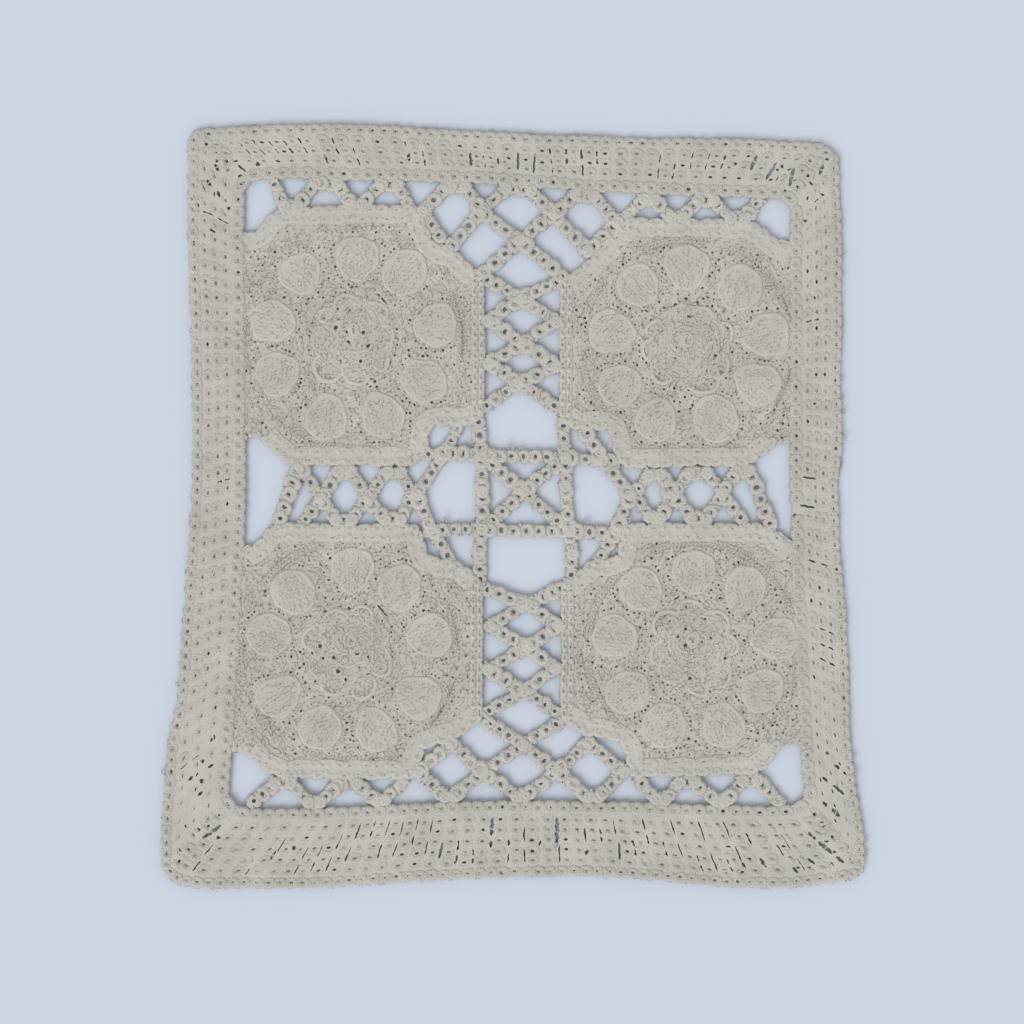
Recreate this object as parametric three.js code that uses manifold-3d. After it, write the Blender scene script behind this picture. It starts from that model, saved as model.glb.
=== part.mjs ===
// A flat crochet patch in ivory cotton thread, 141 x 153 mm.
//
// Four floral medallions stand in a two by two layout. A lattice of crocheted bars joins them to
// one another, and a wide band of stitch rows frames the whole. The patch lies flat with its
// underside on z = 0, its middle at x = y = 0, +X to the right and +Y towards its top edge.
// Sizes are in millimetres.
import * as THREE from 'three';
import { mergeVertices } from 'three/addons/utils/BufferGeometryUtils.js';
import Module from 'manifold-3d';

const wasm = await Module();
wasm.setup();

// ---- driving dimensions -----------------------------------------------------------------------

const GAP = 0.3; // between pieces that are crocheted together
const BAND_THICK = 2.0; // border band, dense stitch rows
const EDGING_THICK = 2.3; // the chain edging along the band's outer edge
const EDGING_WIDE = 2.2;
const BAR_THICK = 1.8;
const BAR_WIDE = 3.1;
const RIM_THICK = 1.8; // solid rim round each medallion
const GROUND_THICK = 1.2; // open net ground inside the rim
const OVAL_THICK = 1.9; // the nine oval petals on the ground
const ROSE_THICK = 2.0; // the rose in the middle
const SCALLOP_RISE = 0.5; // scallops along a medallion's upper and lower edges
const SCALLOP_COUNT = 5;
const EDGE_STEPS = 14; // straight steps along one side of the border band
const MITRE_LIMIT = 2.4;

// Outer edge of the band: how far its left and right edges stand out, at heights from bottom to top
const OUTER_SIDES = [
  { y: -72.6, left: -70.4, right: 70.4 },
  { y: -64.0, left: -70.1, right: 69.8 },
  { y: -48.0, left: -69.0, right: 67.5 },
  { y: -39.0, left: -67.2, right: 67.1 },
  { y: -24.0, left: -66.0, right: 66.6 },
  { y: 0.0, left: -64.4, right: 64.9 },
  { y: 12.0, left: -64.0, right: 65.7 },
  { y: 30.0, left: -64.2, right: 65.6 },
  { y: 52.0, left: -64.8, right: 65.8 },
  { y: 69.8, left: -65.0, right: 65.1 },
  { y: 73.8, left: -64.8, right: null },
];
// ... and how low and high its bottom and top edges run, from left to right
const OUTER_ENDS = [
  { x: -67.8, bottom: -75.2, top: null },
  { x: -63.4, bottom: -76.0, top: 75.2 },
  { x: -50.0, bottom: -76.3, top: 76.0 },
  { x: -36.0, bottom: -76.0, top: 76.3 },
  { x: -16.0, bottom: -74.7, top: 75.4 },
  { x: 8.0, bottom: -73.9, top: 74.2 },
  { x: 24.0, bottom: -74.4, top: 73.7 },
  { x: 46.0, bottom: -76.2, top: 73.4 },
  { x: 61.6, bottom: -75.6, top: 72.4 },
  { x: 68.8, bottom: -74.4, top: null },
];
// Inner edge of the band
const INNER_SIDES = [
  { y: -57.6, left: -56.5, right: 58.1 },
  { y: -44.0, left: -55.5, right: 56.9 },
  { y: -20.0, left: -54.2, right: 55.8 },
  { y: 0.0, left: -53.3, right: 55.3 },
  { y: 30.0, left: -53.3, right: 55.1 },
  { y: 59.8, left: -53.4, right: 55.2 },
  { y: 63.6, left: -53.1, right: null },
];
const INNER_ENDS = [
  { x: -55.2, bottom: -59.4, top: null },
  { x: -50.8, bottom: -60.2, top: 65.1 },
  { x: -32.0, bottom: -59.8, top: 65.0 },
  { x: -8.0, bottom: -58.7, top: 64.2 },
  { x: 18.0, bottom: -58.8, top: 62.6 },
  { x: 38.0, bottom: -59.5, top: 61.6 },
  { x: 53.0, bottom: -59.6, top: 61.2 },
  { x: 57.0, bottom: -58.8, top: null },
];

// Medallions: the centre and radius of the ring of ovals, the half sizes of the net ground round
// the point `ground`, and the corners of the outline, as [x, y], read clockwise. Scallops run from
// `topOuter` to `topInner` and back from `bottomInner` to `bottomOuter`. Outer is the border side.
const MEDALLIONS = {
  medallion_top_left: {
    ring: [-32.0, 33.3],
    radius: 16.3,
    ground: [-31.0, 33.6],
    groundHalf: [22.0, 22.6],
    topOuter: [[-54.0, 13.4], [-54.0, 54.3], [-51.0, 55.0], [-49.6, 57.8], [-46.6, 59.6]],
    topInner: [[-18.6, 60.0], [-17.2, 56.2], [-15.6, 52.4], [-11.2, 51.2], [-8.0, 48.0],
      [-5.6, 46.0]],
    bottomInner: [[-5.6, 18.4], [-7.6, 16.0], [-16.5, 15.8], [-16.8, 11.2], [-19.0, 8.3]],
    bottomOuter: [[-45.4, 8.2], [-50.6, 13.2]],
  },
  medallion_top_right: {
    ring: [34.8, 31.9],
    radius: 15.5,
    ground: [33.6, 32.0],
    groundHalf: [20.6, 21.0],
    topOuter: [[56.0, 13.2], [56.0, 52.0], [52.6, 53.0], [50.6, 55.3], [47.8, 57.0]],
    topInner: [[21.8, 57.4], [20.8, 55.0], [15.0, 49.4], [9.3, 45.0]],
    bottomInner: [[9.3, 17.8], [11.4, 15.2], [19.4, 14.9], [19.8, 10.6], [21.6, 7.9]],
    bottomOuter: [[47.4, 8.2], [50.4, 10.0], [53.2, 12.9]],
  },
  medallion_bottom_left: {
    ring: [-32.8, -29.1],
    radius: 16.2,
    ground: [-31.6, -29.0],
    groundHalf: [21.8, 22.2],
    topOuter: [[-57.0, -48.7], [-54.4, -9.0], [-50.4, -6.4], [-49.6, -4.3], [-47.4, -3.5]],
    topInner: [[-18.4, -3.8], [-16.8, -9.8], [-11.2, -10.5], [-8.4, -12.5], [-5.9, -15.2]],
    bottomInner: [[-6.1, -42.6], [-9.8, -45.8], [-13.4, -47.4], [-17.6, -48.4], [-19.4, -54.4]],
    bottomOuter: [[-47.2, -54.2], [-50.6, -52.4], [-54.0, -48.9]],
  },
  medallion_bottom_right: {
    ring: [36.1, -28.7],
    radius: 15.8,
    ground: [34.6, -28.4],
    groundHalf: [21.2, 21.6],
    topOuter: [[58.4, -46.9], [56.6, -7.9], [54.0, -6.4], [52.4, -4.2], [50.2, -3.5]],
    topInner: [[21.8, -3.7], [20.6, -10.1], [15.2, -10.3], [13.8, -12.3], [9.7, -15.4]],
    bottomInner: [[9.5, -42.4], [14.0, -46.0], [18.4, -46.4], [21.8, -47.6], [23.0, -54.0]],
    bottomOuter: [[48.8, -53.3], [50.8, -52.6], [54.0, -47.3]],
  },
};

// Ovals are egg shaped, their narrow ends towards the rose
const OVAL_COUNT = 9;
const OVAL_LONG = 9.4;
const OVAL_WIDE = 8.6;
const OVAL_NARROWING = 0.16;
const ROSE = { petals: 8, ringRadius: 6.4, petalRadius: 2.5, heartRadius: 4.4, eyeRadius: 1.9 };

// Bars: each region is crocheted as a few long zigzags, which cross at the knots they share
const BARS = {
  bars_top_left: {
    zigzag: [[-48.0, 64.9], [-45.6, 60.0], [-43.0, 59.9], [-39.4, 64.5], [-35.0, 64.4],
      [-32.4, 60.2], [-30.2, 60.2], [-26.2, 64.2], [-23.0, 64.1], [-20.7, 59.9]],
  },
  bars_top_middle: {
    falling: [[-18.0, 58.9], [-13.2, 63.9], [-9.4, 63.6], [-6.2, 58.9], [1.4, 53.1], [10.2, 45.6]],
    rising: [[-18.0, 58.9], [-12.9, 51.0], [-6.2, 58.9], [-1.4, 63.3], [3.6, 62.9], [8.2, 58.2],
      [14.9, 50.9], [20.9, 56.6], [16.2, 61.9], [12.4, 62.2], [8.2, 58.2], [1.4, 53.1],
      [-6.2, 46.2]],
  },
  bars_top_right: {
    zigzag: [[22.6, 57.8], [26.3, 61.3], [28.3, 61.2], [31.5, 57.8], [33.9, 57.7], [37.0, 61.0],
      [40.0, 60.8], [43.3, 57.5], [46.2, 57.4], [48.8, 60.8]],
  },
  bars_column_top: {
    falling: [[-5.8, 45.4], [1.6, 41.4], [8.8, 36.6], [1.6, 32.6], [-4.9, 28.3], [1.3, 24.7],
      [8.8, 19.6]],
    rising: [[9.2, 44.9], [1.6, 41.4], [-4.9, 37.0], [1.6, 32.6], [8.6, 28.0], [1.3, 24.7],
      [-5.6, 19.8]],
  },
  bars_centre: {
    leftUpright: [[-6.9, 17.4], [-6.4, 10.2], [-6.0, 3.0], [-6.2, -4.7], [-6.8, -9.5],
      [-6.5, -15.0]],
    rightUpright: [[10.2, 16.8], [10.4, 9.7], [10.5, 4.0], [11.5, -5.0], [12.0, -9.5],
      [11.6, -14.4]],
    upperCrossbar: [[-17.4, 10.4], [-6.4, 10.2], [10.4, 9.7], [20.4, 9.2]],
    lowerCrossbar: [[-17.0, -4.8], [-6.2, -4.7], [11.5, -5.0], [21.0, -5.4]],
    fallingCross: [[-6.4, 10.2], [2.2, 3.0], [11.5, -5.0]],
    risingCross: [[-6.2, -4.7], [2.2, 3.0], [10.4, 9.7]],
    leftBrace: [[-10.6, 16.2], [-14.4, 9.4], [-19.2, 2.3], [-16.4, -4.5], [-12.8, -10.4]],
    rightBrace: [[14.6, 15.2], [17.8, 9.4], [23.4, 2.1], [20.7, -4.7], [17.2, -10.2]],
  },
  bars_arm_left: {
    falling: [[-46.8, -3.0], [-42.7, 8.2], [-38.2, 1.6], [-35.3, -2.6],
      [-32.0, -2.6], [-28.8, 1.7], [-24.9, 6.8], [-22.3, 6.8], [-20.6, 3.4]],
    rising: [[-41.7, -3.0], [-38.2, 1.6], [-34.6, 6.9], [-32.3, 6.9], [-28.8, 1.7],
      [-25.6, -2.6], [-22.5, -2.7], [-20.6, 1.2]],
  },
  bars_arm_right: {
    rising: [[24.8, 3.2], [27.0, 6.3], [29.4, 6.4], [32.2, 2.4], [35.5, -2.4], [38.6, -2.5],
      [41.7, 2.6], [44.7, 7.0], [47.2, 7.1], [51.6, -4.0]],
    falling: [[24.8, 1.2], [27.3, -2.2], [29.5, -2.4], [32.2, 2.4], [35.2, 6.5], [38.8, 6.6],
      [41.7, 2.6], [45.8, -2.8]],
  },
  bars_column_bottom: {
    falling: [[-5.8, -16.4], [3.0, -19.5], [9.2, -23.9], [3.0, -28.1], [-4.9, -32.6],
      [2.2, -36.8], [8.9, -41.2]],
    rising: [[10.2, -16.2], [3.0, -19.5], [-4.6, -24.1], [3.0, -28.1], [8.6, -32.4],
      [2.2, -36.8], [-5.4, -41.2]],
  },
  bars_bottom_left: {
    zigzag: [[-52.2, -59.2], [-47.6, -55.4], [-44.3, -55.2], [-40.8, -59.0], [-38.4, -58.9],
      [-34.9, -55.4], [-31.2, -55.2], [-27.2, -58.7], [-25.6, -58.6], [-21.9, -55.0]],
  },
  bars_bottom_middle: {
    rising: [[9.2, -43.2], [2.0, -47.6], [-6.0, -53.1], [-11.7, -57.9], [-13.5, -57.9],
      [-18.9, -53.0], [-12.2, -47.4], [-6.0, -53.1], [0.8, -57.8], [2.4, -57.8], [8.9, -52.8],
      [15.2, -47.2], [22.0, -52.9], [17.1, -57.9], [15.2, -57.9], [8.9, -52.8], [2.0, -47.6],
      [-5.0, -43.2]],
  },
  bars_bottom_right: {
    zigzag: [[25.0, -54.8], [28.5, -58.4], [30.4, -58.5], [33.2, -55.1], [36.2, -54.9],
      [40.6, -58.9], [42.4, -58.9], [45.9, -54.7], [48.9, -54.6], [53.2, -59.0]],
  },
};

// ---- solids -----------------------------------------------------------------------------------

const toVectors = (points) => points.map(([x, y]) => new THREE.Vector2(x, y));

function solidOf(geometry) {
  geometry.deleteAttribute('normal');
  geometry.deleteAttribute('uv');
  const merged = mergeVertices(geometry, 1e-4);
  return new wasm.Manifold(new wasm.Mesh({
    numProp: 3,
    vertProperties: Float32Array.from(merged.attributes.position.array),
    triVerts: Uint32Array.from(merged.index.array),
  }));
}

function geometryOf(solid) {
  const { vertProperties, triVerts } = solid.getMesh();
  const geometry = new THREE.BufferGeometry();
  geometry.setAttribute('position', new THREE.BufferAttribute(vertProperties, 3));
  geometry.setIndex(new THREE.BufferAttribute(triVerts, 1));
  geometry.computeVertexNormals();
  return geometry;
}

// An outline raised from one height to another
function slab(outline, low, high) {
  const geometry = new THREE.ExtrudeGeometry(new THREE.Shape(outline), {
    depth: high - low,
    bevelEnabled: false,
  });
  geometry.translate(0, 0, low);
  return solidOf(geometry);
}

function disc([x, y], radius, high, sides) {
  const geometry = new THREE.CylinderGeometry(radius, radius, high, sides);
  geometry.rotateX(Math.PI / 2);
  geometry.translate(x, y, high / 2);
  return solidOf(geometry);
}

const join = (solids) => solids.reduce((whole, piece) => whole.add(piece));

// A corner of a line moved to its right by a distance, so that both its sides move as far
function sideways(before, corner, after, distance) {
  const a = corner.clone().sub(before).normalize();
  const b = after.clone().sub(corner).normalize();
  const right = new THREE.Vector2(a.y + b.y, -a.x - b.x).normalize();
  const mitre = Math.min(1 / Math.sqrt((1 + a.dot(b)) / 2), MITRE_LIMIT);
  return corner.clone().addScaledVector(right, distance * mitre);
}

// A closed outline, read anticlockwise, moved outwards by a distance
function grow(outline, distance) {
  const count = outline.length;
  return outline.map((corner, i) => sideways(
    outline[(i + count - 1) % count],
    corner,
    outline[(i + 1) % count],
    distance,
  ));
}

// A bar along a path: straight lengths, mitred where it turns
function ribbon(path, width, low, high) {
  const points = toVectors(path);
  const edge = (distance) => points.map((corner, i) => {
    const before = points[i - 1] ?? corner.clone().multiplyScalar(2).sub(points[i + 1]);
    const after = points[i + 1] ?? corner.clone().multiplyScalar(2).sub(points[i - 1]);
    return sideways(before, corner, after, distance);
  });
  const right = edge(width / 2);
  const left = edge(-width / 2);
  return join(points.slice(1).map(
    (_, i) => slab([right[i], right[i + 1], left[i + 1], left[i]], low, high),
  ));
}

function anticlockwise(outline) {
  return THREE.ShapeUtils.isClockWise(outline) ? outline.slice().reverse() : outline;
}

// ---- border band ------------------------------------------------------------------------------

// One closed edge of the band, from its four sides; each side is a smooth curve
function bandEdge(sides, ends) {
  const rows = {
    left: sides.filter((row) => row.left !== null).map((row) => [row.left, row.y]).reverse(),
    bottom: ends.filter((row) => row.bottom !== null).map((row) => [row.x, row.bottom]),
    right: sides.filter((row) => row.right !== null).map((row) => [row.right, row.y]),
    top: ends.filter((row) => row.top !== null).map((row) => [row.x, row.top]).reverse(),
  };
  return Object.values(rows).flatMap(
    (row) => new THREE.SplineCurve(toVectors(row)).getSpacedPoints(EDGE_STEPS),
  );
}

const outerEdge = bandEdge(OUTER_SIDES, OUTER_ENDS);
const innerEdge = bandEdge(INNER_SIDES, INNER_ENDS);

function borderBand() {
  const opening = slab(innerEdge, -1, 3);
  const rows = slab(outerEdge, 0, BAND_THICK);
  const edging = slab(outerEdge, 0, EDGING_THICK).subtract(
    slab(grow(outerEdge, -EDGING_WIDE), -1, 3),
  );
  return rows.add(edging).subtract(opening);
}

// The space inside the band that other pieces may fill
const insideBand = slab(grow(innerEdge, -GAP), -1, 4);

// ---- medallions -------------------------------------------------------------------------------

// A row of scallops from one corner to the next, bulging to the left of the way it runs
function scallops([x0, y0], [x1, y1]) {
  const stepsEach = 3;
  const count = SCALLOP_COUNT * stepsEach;
  const normal = new THREE.Vector2(y0 - y1, x1 - x0).normalize();
  return Array.from({ length: count - 1 }, (_, i) => {
    const t = (i + 1) / count;
    const rise = SCALLOP_RISE * Math.abs(Math.sin(Math.PI * SCALLOP_COUNT * t));
    return [x0 + (x1 - x0) * t + normal.x * rise, y0 + (y1 - y0) * t + normal.y * rise];
  });
}

function medallionOutline({ topOuter, topInner, bottomInner, bottomOuter, ring }) {
  const onLeft = ring[0] < 0;
  const run = (from, to) => (onLeft ? scallops(from, to) : scallops(to, from).reverse());
  return anticlockwise(toVectors([
    ...topOuter,
    ...run(topOuter.at(-1), topInner[0]),
    ...topInner,
    ...bottomInner,
    ...run(bottomInner.at(-1), bottomOuter[0]),
    ...bottomOuter,
  ]));
}

// A square with very round corners
function roundedSquare([cx, cy], [halfX, halfY], steps = 28, power = 0.5) {
  return Array.from({ length: steps }, (_, i) => {
    const angle = (2 * Math.PI * i) / steps;
    const c = Math.cos(angle);
    const s = Math.sin(angle);
    return new THREE.Vector2(
      cx + halfX * Math.sign(c) * Math.abs(c) ** power,
      cy + halfY * Math.sign(s) * Math.abs(s) ** power,
    );
  });
}

function oval([cx, cy], distance, angle, steps = 12) {
  return Array.from({ length: steps }, (_, i) => {
    const turn = (2 * Math.PI * i) / steps;
    const along = (OVAL_LONG / 2) * Math.cos(turn);
    const across = (OVAL_WIDE / 2) * Math.sin(turn) * (1 + OVAL_NARROWING * Math.cos(turn));
    return new THREE.Vector2(distance + along, across)
      .rotateAround(new THREE.Vector2(0, 0), angle)
      .add(new THREE.Vector2(cx, cy));
  });
}

function medallion(sizes) {
  const { ring, radius, ground, groundHalf } = sizes;
  const pieces = [
    slab(medallionOutline(sizes), 0, RIM_THICK).subtract(
      slab(roundedSquare(ground, groundHalf), GROUND_THICK, 3),
    ),
  ];
  for (let i = 0; i < OVAL_COUNT; i += 1) {
    const angle = Math.PI / 2 + (2 * Math.PI * i) / OVAL_COUNT;
    pieces.push(slab(oval(ring, radius, angle), 0, OVAL_THICK));
  }
  for (let i = 0; i < ROSE.petals; i += 1) {
    const angle = (2 * Math.PI * i) / ROSE.petals;
    const x = ring[0] + ROSE.ringRadius * Math.cos(angle);
    const y = ring[1] + ROSE.ringRadius * Math.sin(angle);
    pieces.push(disc([x, y], ROSE.petalRadius, OVAL_THICK, 8));
  }
  pieces.push(disc(ring, ROSE.heartRadius, ROSE_THICK, 12));
  pieces.push(disc(ring, ROSE.eyeRadius, ROSE_THICK + 0.3, 8));
  return join(pieces).intersect(insideBand);
}

// ---- bars -------------------------------------------------------------------------------------

const barNet = (paths) => join(
  Object.values(paths).map((path) => ribbon(path, BAR_WIDE, 0, BAR_THICK)),
).intersect(insideBand);

// A path with both its ends moved out along it
function lengthened(path, distance) {
  const points = toVectors(path);
  const moved = (end, next) => end.clone().add(end.clone().sub(next).setLength(distance));
  return [
    moved(points[0], points[1]).toArray(),
    ...path.slice(1, -1),
    moved(points.at(-1), points.at(-2)).toArray(),
  ];
}

// What a region of bars takes up, with the gap that its neighbours leave round it
const barSpace = (paths) => join(
  Object.values(paths).map(
    (path) => ribbon(lengthened(path, GAP), BAR_WIDE + 2 * GAP, -1, 4),
  ),
);

// ---- assembly ---------------------------------------------------------------------------------

const COTTON = { color: 0xaca8a0, roughness: 0.9, metalness: 0.0 };

const patch = new THREE.Group();
patch.name = 'crochet_patch';

function addPiece(name, solid) {
  const mesh = new THREE.Mesh(geometryOf(solid), new THREE.MeshStandardMaterial(COTTON));
  mesh.name = name;
  patch.add(mesh);
}

addPiece('border_band', borderBand());

let taken = null;
for (const [name, sizes] of Object.entries(MEDALLIONS)) {
  addPiece(name, medallion(sizes));
  const space = slab(grow(medallionOutline(sizes), GAP), -1, 4);
  taken = taken ? taken.add(space) : space;
}

// Neighbouring regions of bars meet at a knot; the later one stops a gap short of the earlier
for (const [name, paths] of Object.entries(BARS)) {
  addPiece(name, barNet(paths).subtract(taken));
  taken = taken.add(barSpace(paths));
}

export default patch;
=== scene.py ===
import math
from collections import Counter

import bpy
import numpy as np
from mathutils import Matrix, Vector
from mathutils.geometry import delaunay_2d_cdt


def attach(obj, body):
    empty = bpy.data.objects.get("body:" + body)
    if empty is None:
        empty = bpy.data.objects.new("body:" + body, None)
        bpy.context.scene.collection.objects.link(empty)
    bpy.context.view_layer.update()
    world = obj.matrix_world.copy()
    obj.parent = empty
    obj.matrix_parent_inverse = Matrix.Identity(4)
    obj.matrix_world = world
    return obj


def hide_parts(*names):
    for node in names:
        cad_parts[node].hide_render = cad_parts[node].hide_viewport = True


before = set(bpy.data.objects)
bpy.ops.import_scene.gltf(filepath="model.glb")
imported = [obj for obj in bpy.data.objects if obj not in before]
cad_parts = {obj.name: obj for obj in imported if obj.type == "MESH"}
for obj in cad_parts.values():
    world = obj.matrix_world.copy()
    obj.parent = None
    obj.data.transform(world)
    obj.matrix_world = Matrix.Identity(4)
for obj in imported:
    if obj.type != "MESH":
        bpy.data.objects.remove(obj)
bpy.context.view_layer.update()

MM = 0.001
RNG = np.random.default_rng(20)
SPECK_RNG = np.random.default_rng(5)
SHAPE_RNG = np.random.default_rng(6)

# ---- driving dimensions, in millimetres

# Rows of ring stitches: the pitch and width of the row, how far rings lap over each other, half
# sizes of the eyelet in each, along the row and across it, and the share of eyelets left open;
# then the rings' height, tilt and unevenness, and whether their strands show. Pillars have rings
# that fill them, up to a largest half size, and holes in the cloth beneath with their half sizes
BAR = dict(pitch=2.4, width=3.0, lap=0.36, eye=(0.46, 0.48), open=0.9, z=0.82, tilt=0.2,
           uneven=0.12, rope=True)
EDGING = dict(pitch=2.35, width=2.4, lap=0.42, eye=(0.44, 0.3), open=0.1, z=0.92, tilt=0.08,
              uneven=0.03, rope=True)
INNER_ROW = dict(pitch=2.45, width=2.8, lap=0.4, eye=(0.38, 0.36), open=0.08, z=0.9, tilt=0.08,
                 uneven=0.03, rope=True)
CORNER = dict(pitch=2.8, width=2.7, lap=0.3, eye=(0.36, 0.4), open=0.3, z=0.9, tilt=0.1,
              uneven=0.08, rope=True)
RIM_EDGE = dict(pitch=2.6, width=2.1, lap=0.35, eye=(0.3, 0.2), open=0.0, z=0.9, tilt=0.06,
                uneven=0.03, rope=True)
RIM_ROW = {**RIM_EDGE, "z": 0.88, "rope": False}
RIM_CHAIN = dict(pitch=2.2, width=1.45, lap=0.35, eye=(0.2, 0.06), open=0.0, z=0.98, tilt=0.14,
                 uneven=0.03, rope=True)
PILLAR = dict(pitch=3.1, lap=0.3, largest=1.62, eye=(0.3, 0.42), hole=(0.3, 0.46), open=0.1,
              z=0.86, tilt=0.08, uneven=0.03, rope=False)
# Share of the pillars on each side of the band that have an open slit beside them
SLIT_SHARE = {"left": 0.08, "bottom": 0.85, "right": 0.12, "top": 0.65}
FAN = {"left": 1.75, "bottom": 1.1, "right": 1.75, "top": 1.75}  # how fast pillars straighten up
ROWS = {"left": 3, "bottom": 5, "right": 3, "top": 3}  # rows of pillars in each side
CORNER_ENDS = (2.6, 2.4)  # how far a corner's row stays from the inner and the outer corner
HEM = {"outer": 0.5, "inner": 0.45, "step": 1.2}  # how far in the band's cloth ends, and its steps
CROSSED_SLIT = {"width": 0.65, "length": 1.2}  # slits from this size have a thread across them
LAYER_RISE = 0.1  # every other bar lies this much higher
BAR_EDGE = 1.15  # how far a knot's cloth reaches, and how much narrower a bar's cloth is
END_LAP = 0.5  # how far a bar's end runs under what it meets, and dips there
# Rims: how far in their rows and chains lie, how much sooner the inner row ends, and from where to
# where the bed of doubled cloth goes
RIM = {"rows": (1.05, 2.9), "inset": 1.6, "bed": (0.6, 3.7), "chains": (0.7, 1.95)}
# Scallops on the seams, how many and how high, and waves along the rims' beds
SCALLOPS = {"count": 5, "rise": 0.5, "wave": 5.6, "depth": 0.45}
# Ovals: their size, how much narrower one end is, the radius of the cord, and points of an outline
OVAL = {"count": 9, "long": 9.5, "wide": 8.7, "narrowing": 0.2, "cord": 0.48, "spots": 40}
# Roses: how many petals, the ring that they stand on and their own radius, how far out the bud's
# arcs reach, how far past the ring the bed goes and the net ends, and the hole in the middle
ROSE = {"petals": 8, "ring": 6.6, "petal": 2.5, "swirl": 5.0, "bed": 1.5, "edge": 1.9,
        "hole": 0.38}
# Nets: how widely the eyelets are spread, how far from the ovals they are strung, how far apart
# they are at least, the loops round them with their yarn, and how clear other stitches keep
NET = {"eyelets": 1.5, "string": 0.8, "apart": 0.75, "loop": 0.47, "radius": 0.2, "clear": 0.4}
TRIM = ((5.2, 0.6), (6.1, -0.6))  # rounds of stitches outside the ovals: how far, and their slant
SHORT = {"length": 1.2, "radius": 0.29, "across": 0.77, "along": 0.93}  # short single stitches
# Radii of the kinds of yarn, and heights of their middles
THREAD = {"back": 0.42, "foot": 0.42, "fibre": 0.05, "loose": 0.15, "strand": 0.25, "bump": 0.4,
          "knot": 0.58, "over_knot": 0.36, "petal": (0.4, 0.48), "rib": 0.2, "bud": (0.28, 0.36),
          "bold": 0.33}
HEIGHT = {"back": 0.72, "fibre": 0.5, "loose": 1.0, "over_slit": 1.1, "knot": 1.0,
          "over_knot": (1.28, 1.2), "cord": 1.1, "oval": 1.2, "rose": 1.16, "petal": 1.12,
          "bud": 1.33, "coil": 1.4, "loop": 1.02, "trim": 1.06, "net": 1.0}
# How clear holes in the cloth keep of its gaps, the knots and one another
CLEAR = {"slit": 1.2, "band": 0.5, "knot": 1.1, "rim": 0.9, "net": 0.6}
# Twisted yarn: sides of its tube, strands, how deep they show, and the length of one turn
ROPE = {"sides": 8, "strands": 3, "depth": 0.07, "lay": 4.6}
PARTING = {"reach": 1.35, "yarn": 0.04, "box": 2.2}  # how threads give way at a gap
PRICK = 0.05  # half width of a gap before its threads are parted
UNEVEN = {"coarse": 0.22, "fine": 0.1, "wave": 0.09}  # how far threads stray, and the rise
OFF_SLIT = 1.05  # how far stitches keep from the middle of a slit
# Levels of the cloth's upper and lower faces, the grid of its points and its least hole's area
CLOTH = {"low": 0.42, "band": 1.31, "bars": 1.12, "net": 1.14, "bed": 1.33, "rim": 1.36,
         "oval": 1.42, "bed_low": 1.1, "net_low": 0.32, "grid": 3.0, "least_hole": 0.004}
FLOOR_LEVEL = 0.01  # the lowest that yarn comes
MEETS_BAND = 52.8  # the medallions' straight sides past this, either way, meet the band
FIBRES = {"outer": 260, "inner": 90, "column": 25}  # loose fibres along each edge
LOOSE = [  # loops of thread that have come loose: x, y, the way they stand in degrees, and size
    (-0.5, 11.6, 85, 0.75), (1.6, 11.3, 110, 0.45), (-69.2, -53.2, 165, 1.0),
    (-68.2, -46.6, 180, 0.6), (65.6, -28.6, 10, 0.85), (66.0, -41.3, 20, 0.7),
    (66.5, -48.4, -5, 0.7), (21.4, 2.9, 20, 0.6), (-15.4, -6.2, 250, 0.6), (17.8, -6.6, 265, 0.6),
    (14.6, -3.3, 80, 0.55), (-13.6, -3.0, 95, 0.6), (70.2, -69.6, -10, 0.5), (65.6, 46.0, 0, 0.5),
    (-40.2, 65.6, 260, 0.55), (29.3, 60.0, 250, 0.5), (-22.6, 62.6, 300, 0.6),
    (-50.4, -58.3, 60, 0.5), (22.8, -3.0, 60, 0.6), (3.9, 50.6, 240, 0.6), (65.6, 13.4, 25, 0.8),
    (65.5, 18.7, -10, 0.55), (65.5, 21.5, 0, 0.5), (65.5, 25.1, 5, 0.5), (65.5, 50.0, 0, 0.5),
    (65.4, 56.9, 5, 0.4), (67.6, -50.2, 10, 0.6), (68.1, -53.0, -10, 0.65), (69.8, -66.9, 35, 0.8),
    (68.7, -73.2, -60, 0.8), (-66.8, -35.6, 170, 0.6),
]

# Outer and inner edges of the band, as the solids have them
OUTER_SIDES = [  # y, left, right
    (-72.6, -70.4, 70.4), (-64.0, -70.1, 69.8), (-48.0, -69.0, 67.5), (-39.0, -67.2, 67.1),
    (-24.0, -66.0, 66.6), (0.0, -64.4, 64.9), (12.0, -64.0, 65.7), (30.0, -64.2, 65.6),
    (52.0, -64.8, 65.8), (69.8, -65.0, 65.1), (73.8, -64.8, None),
]
OUTER_ENDS = [  # x, bottom, top
    (-67.8, -75.2, None), (-63.4, -76.0, 75.2), (-50.0, -76.3, 76.0), (-36.0, -76.0, 76.3),
    (-16.0, -74.7, 75.4), (8.0, -73.9, 74.2), (24.0, -74.4, 73.7), (46.0, -76.2, 73.4),
    (61.6, -75.6, 72.4), (68.8, -74.4, None),
]
INNER_SIDES = [  # y, left, right
    (-57.6, -56.5, 58.1), (-44.0, -55.5, 56.9), (-20.0, -54.2, 55.8), (0.0, -53.3, 55.3),
    (30.0, -53.3, 55.1), (59.8, -53.4, 55.2), (63.6, -53.1, None),
]
INNER_ENDS = [  # x, bottom, top
    (-55.2, -59.4, None), (-50.8, -60.2, 65.1), (-32.0, -59.8, 65.0), (-8.0, -58.7, 64.2),
    (18.0, -58.8, 62.6), (38.0, -59.5, 61.6), (53.0, -59.6, 61.2), (57.0, -58.8, None),
]
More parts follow.
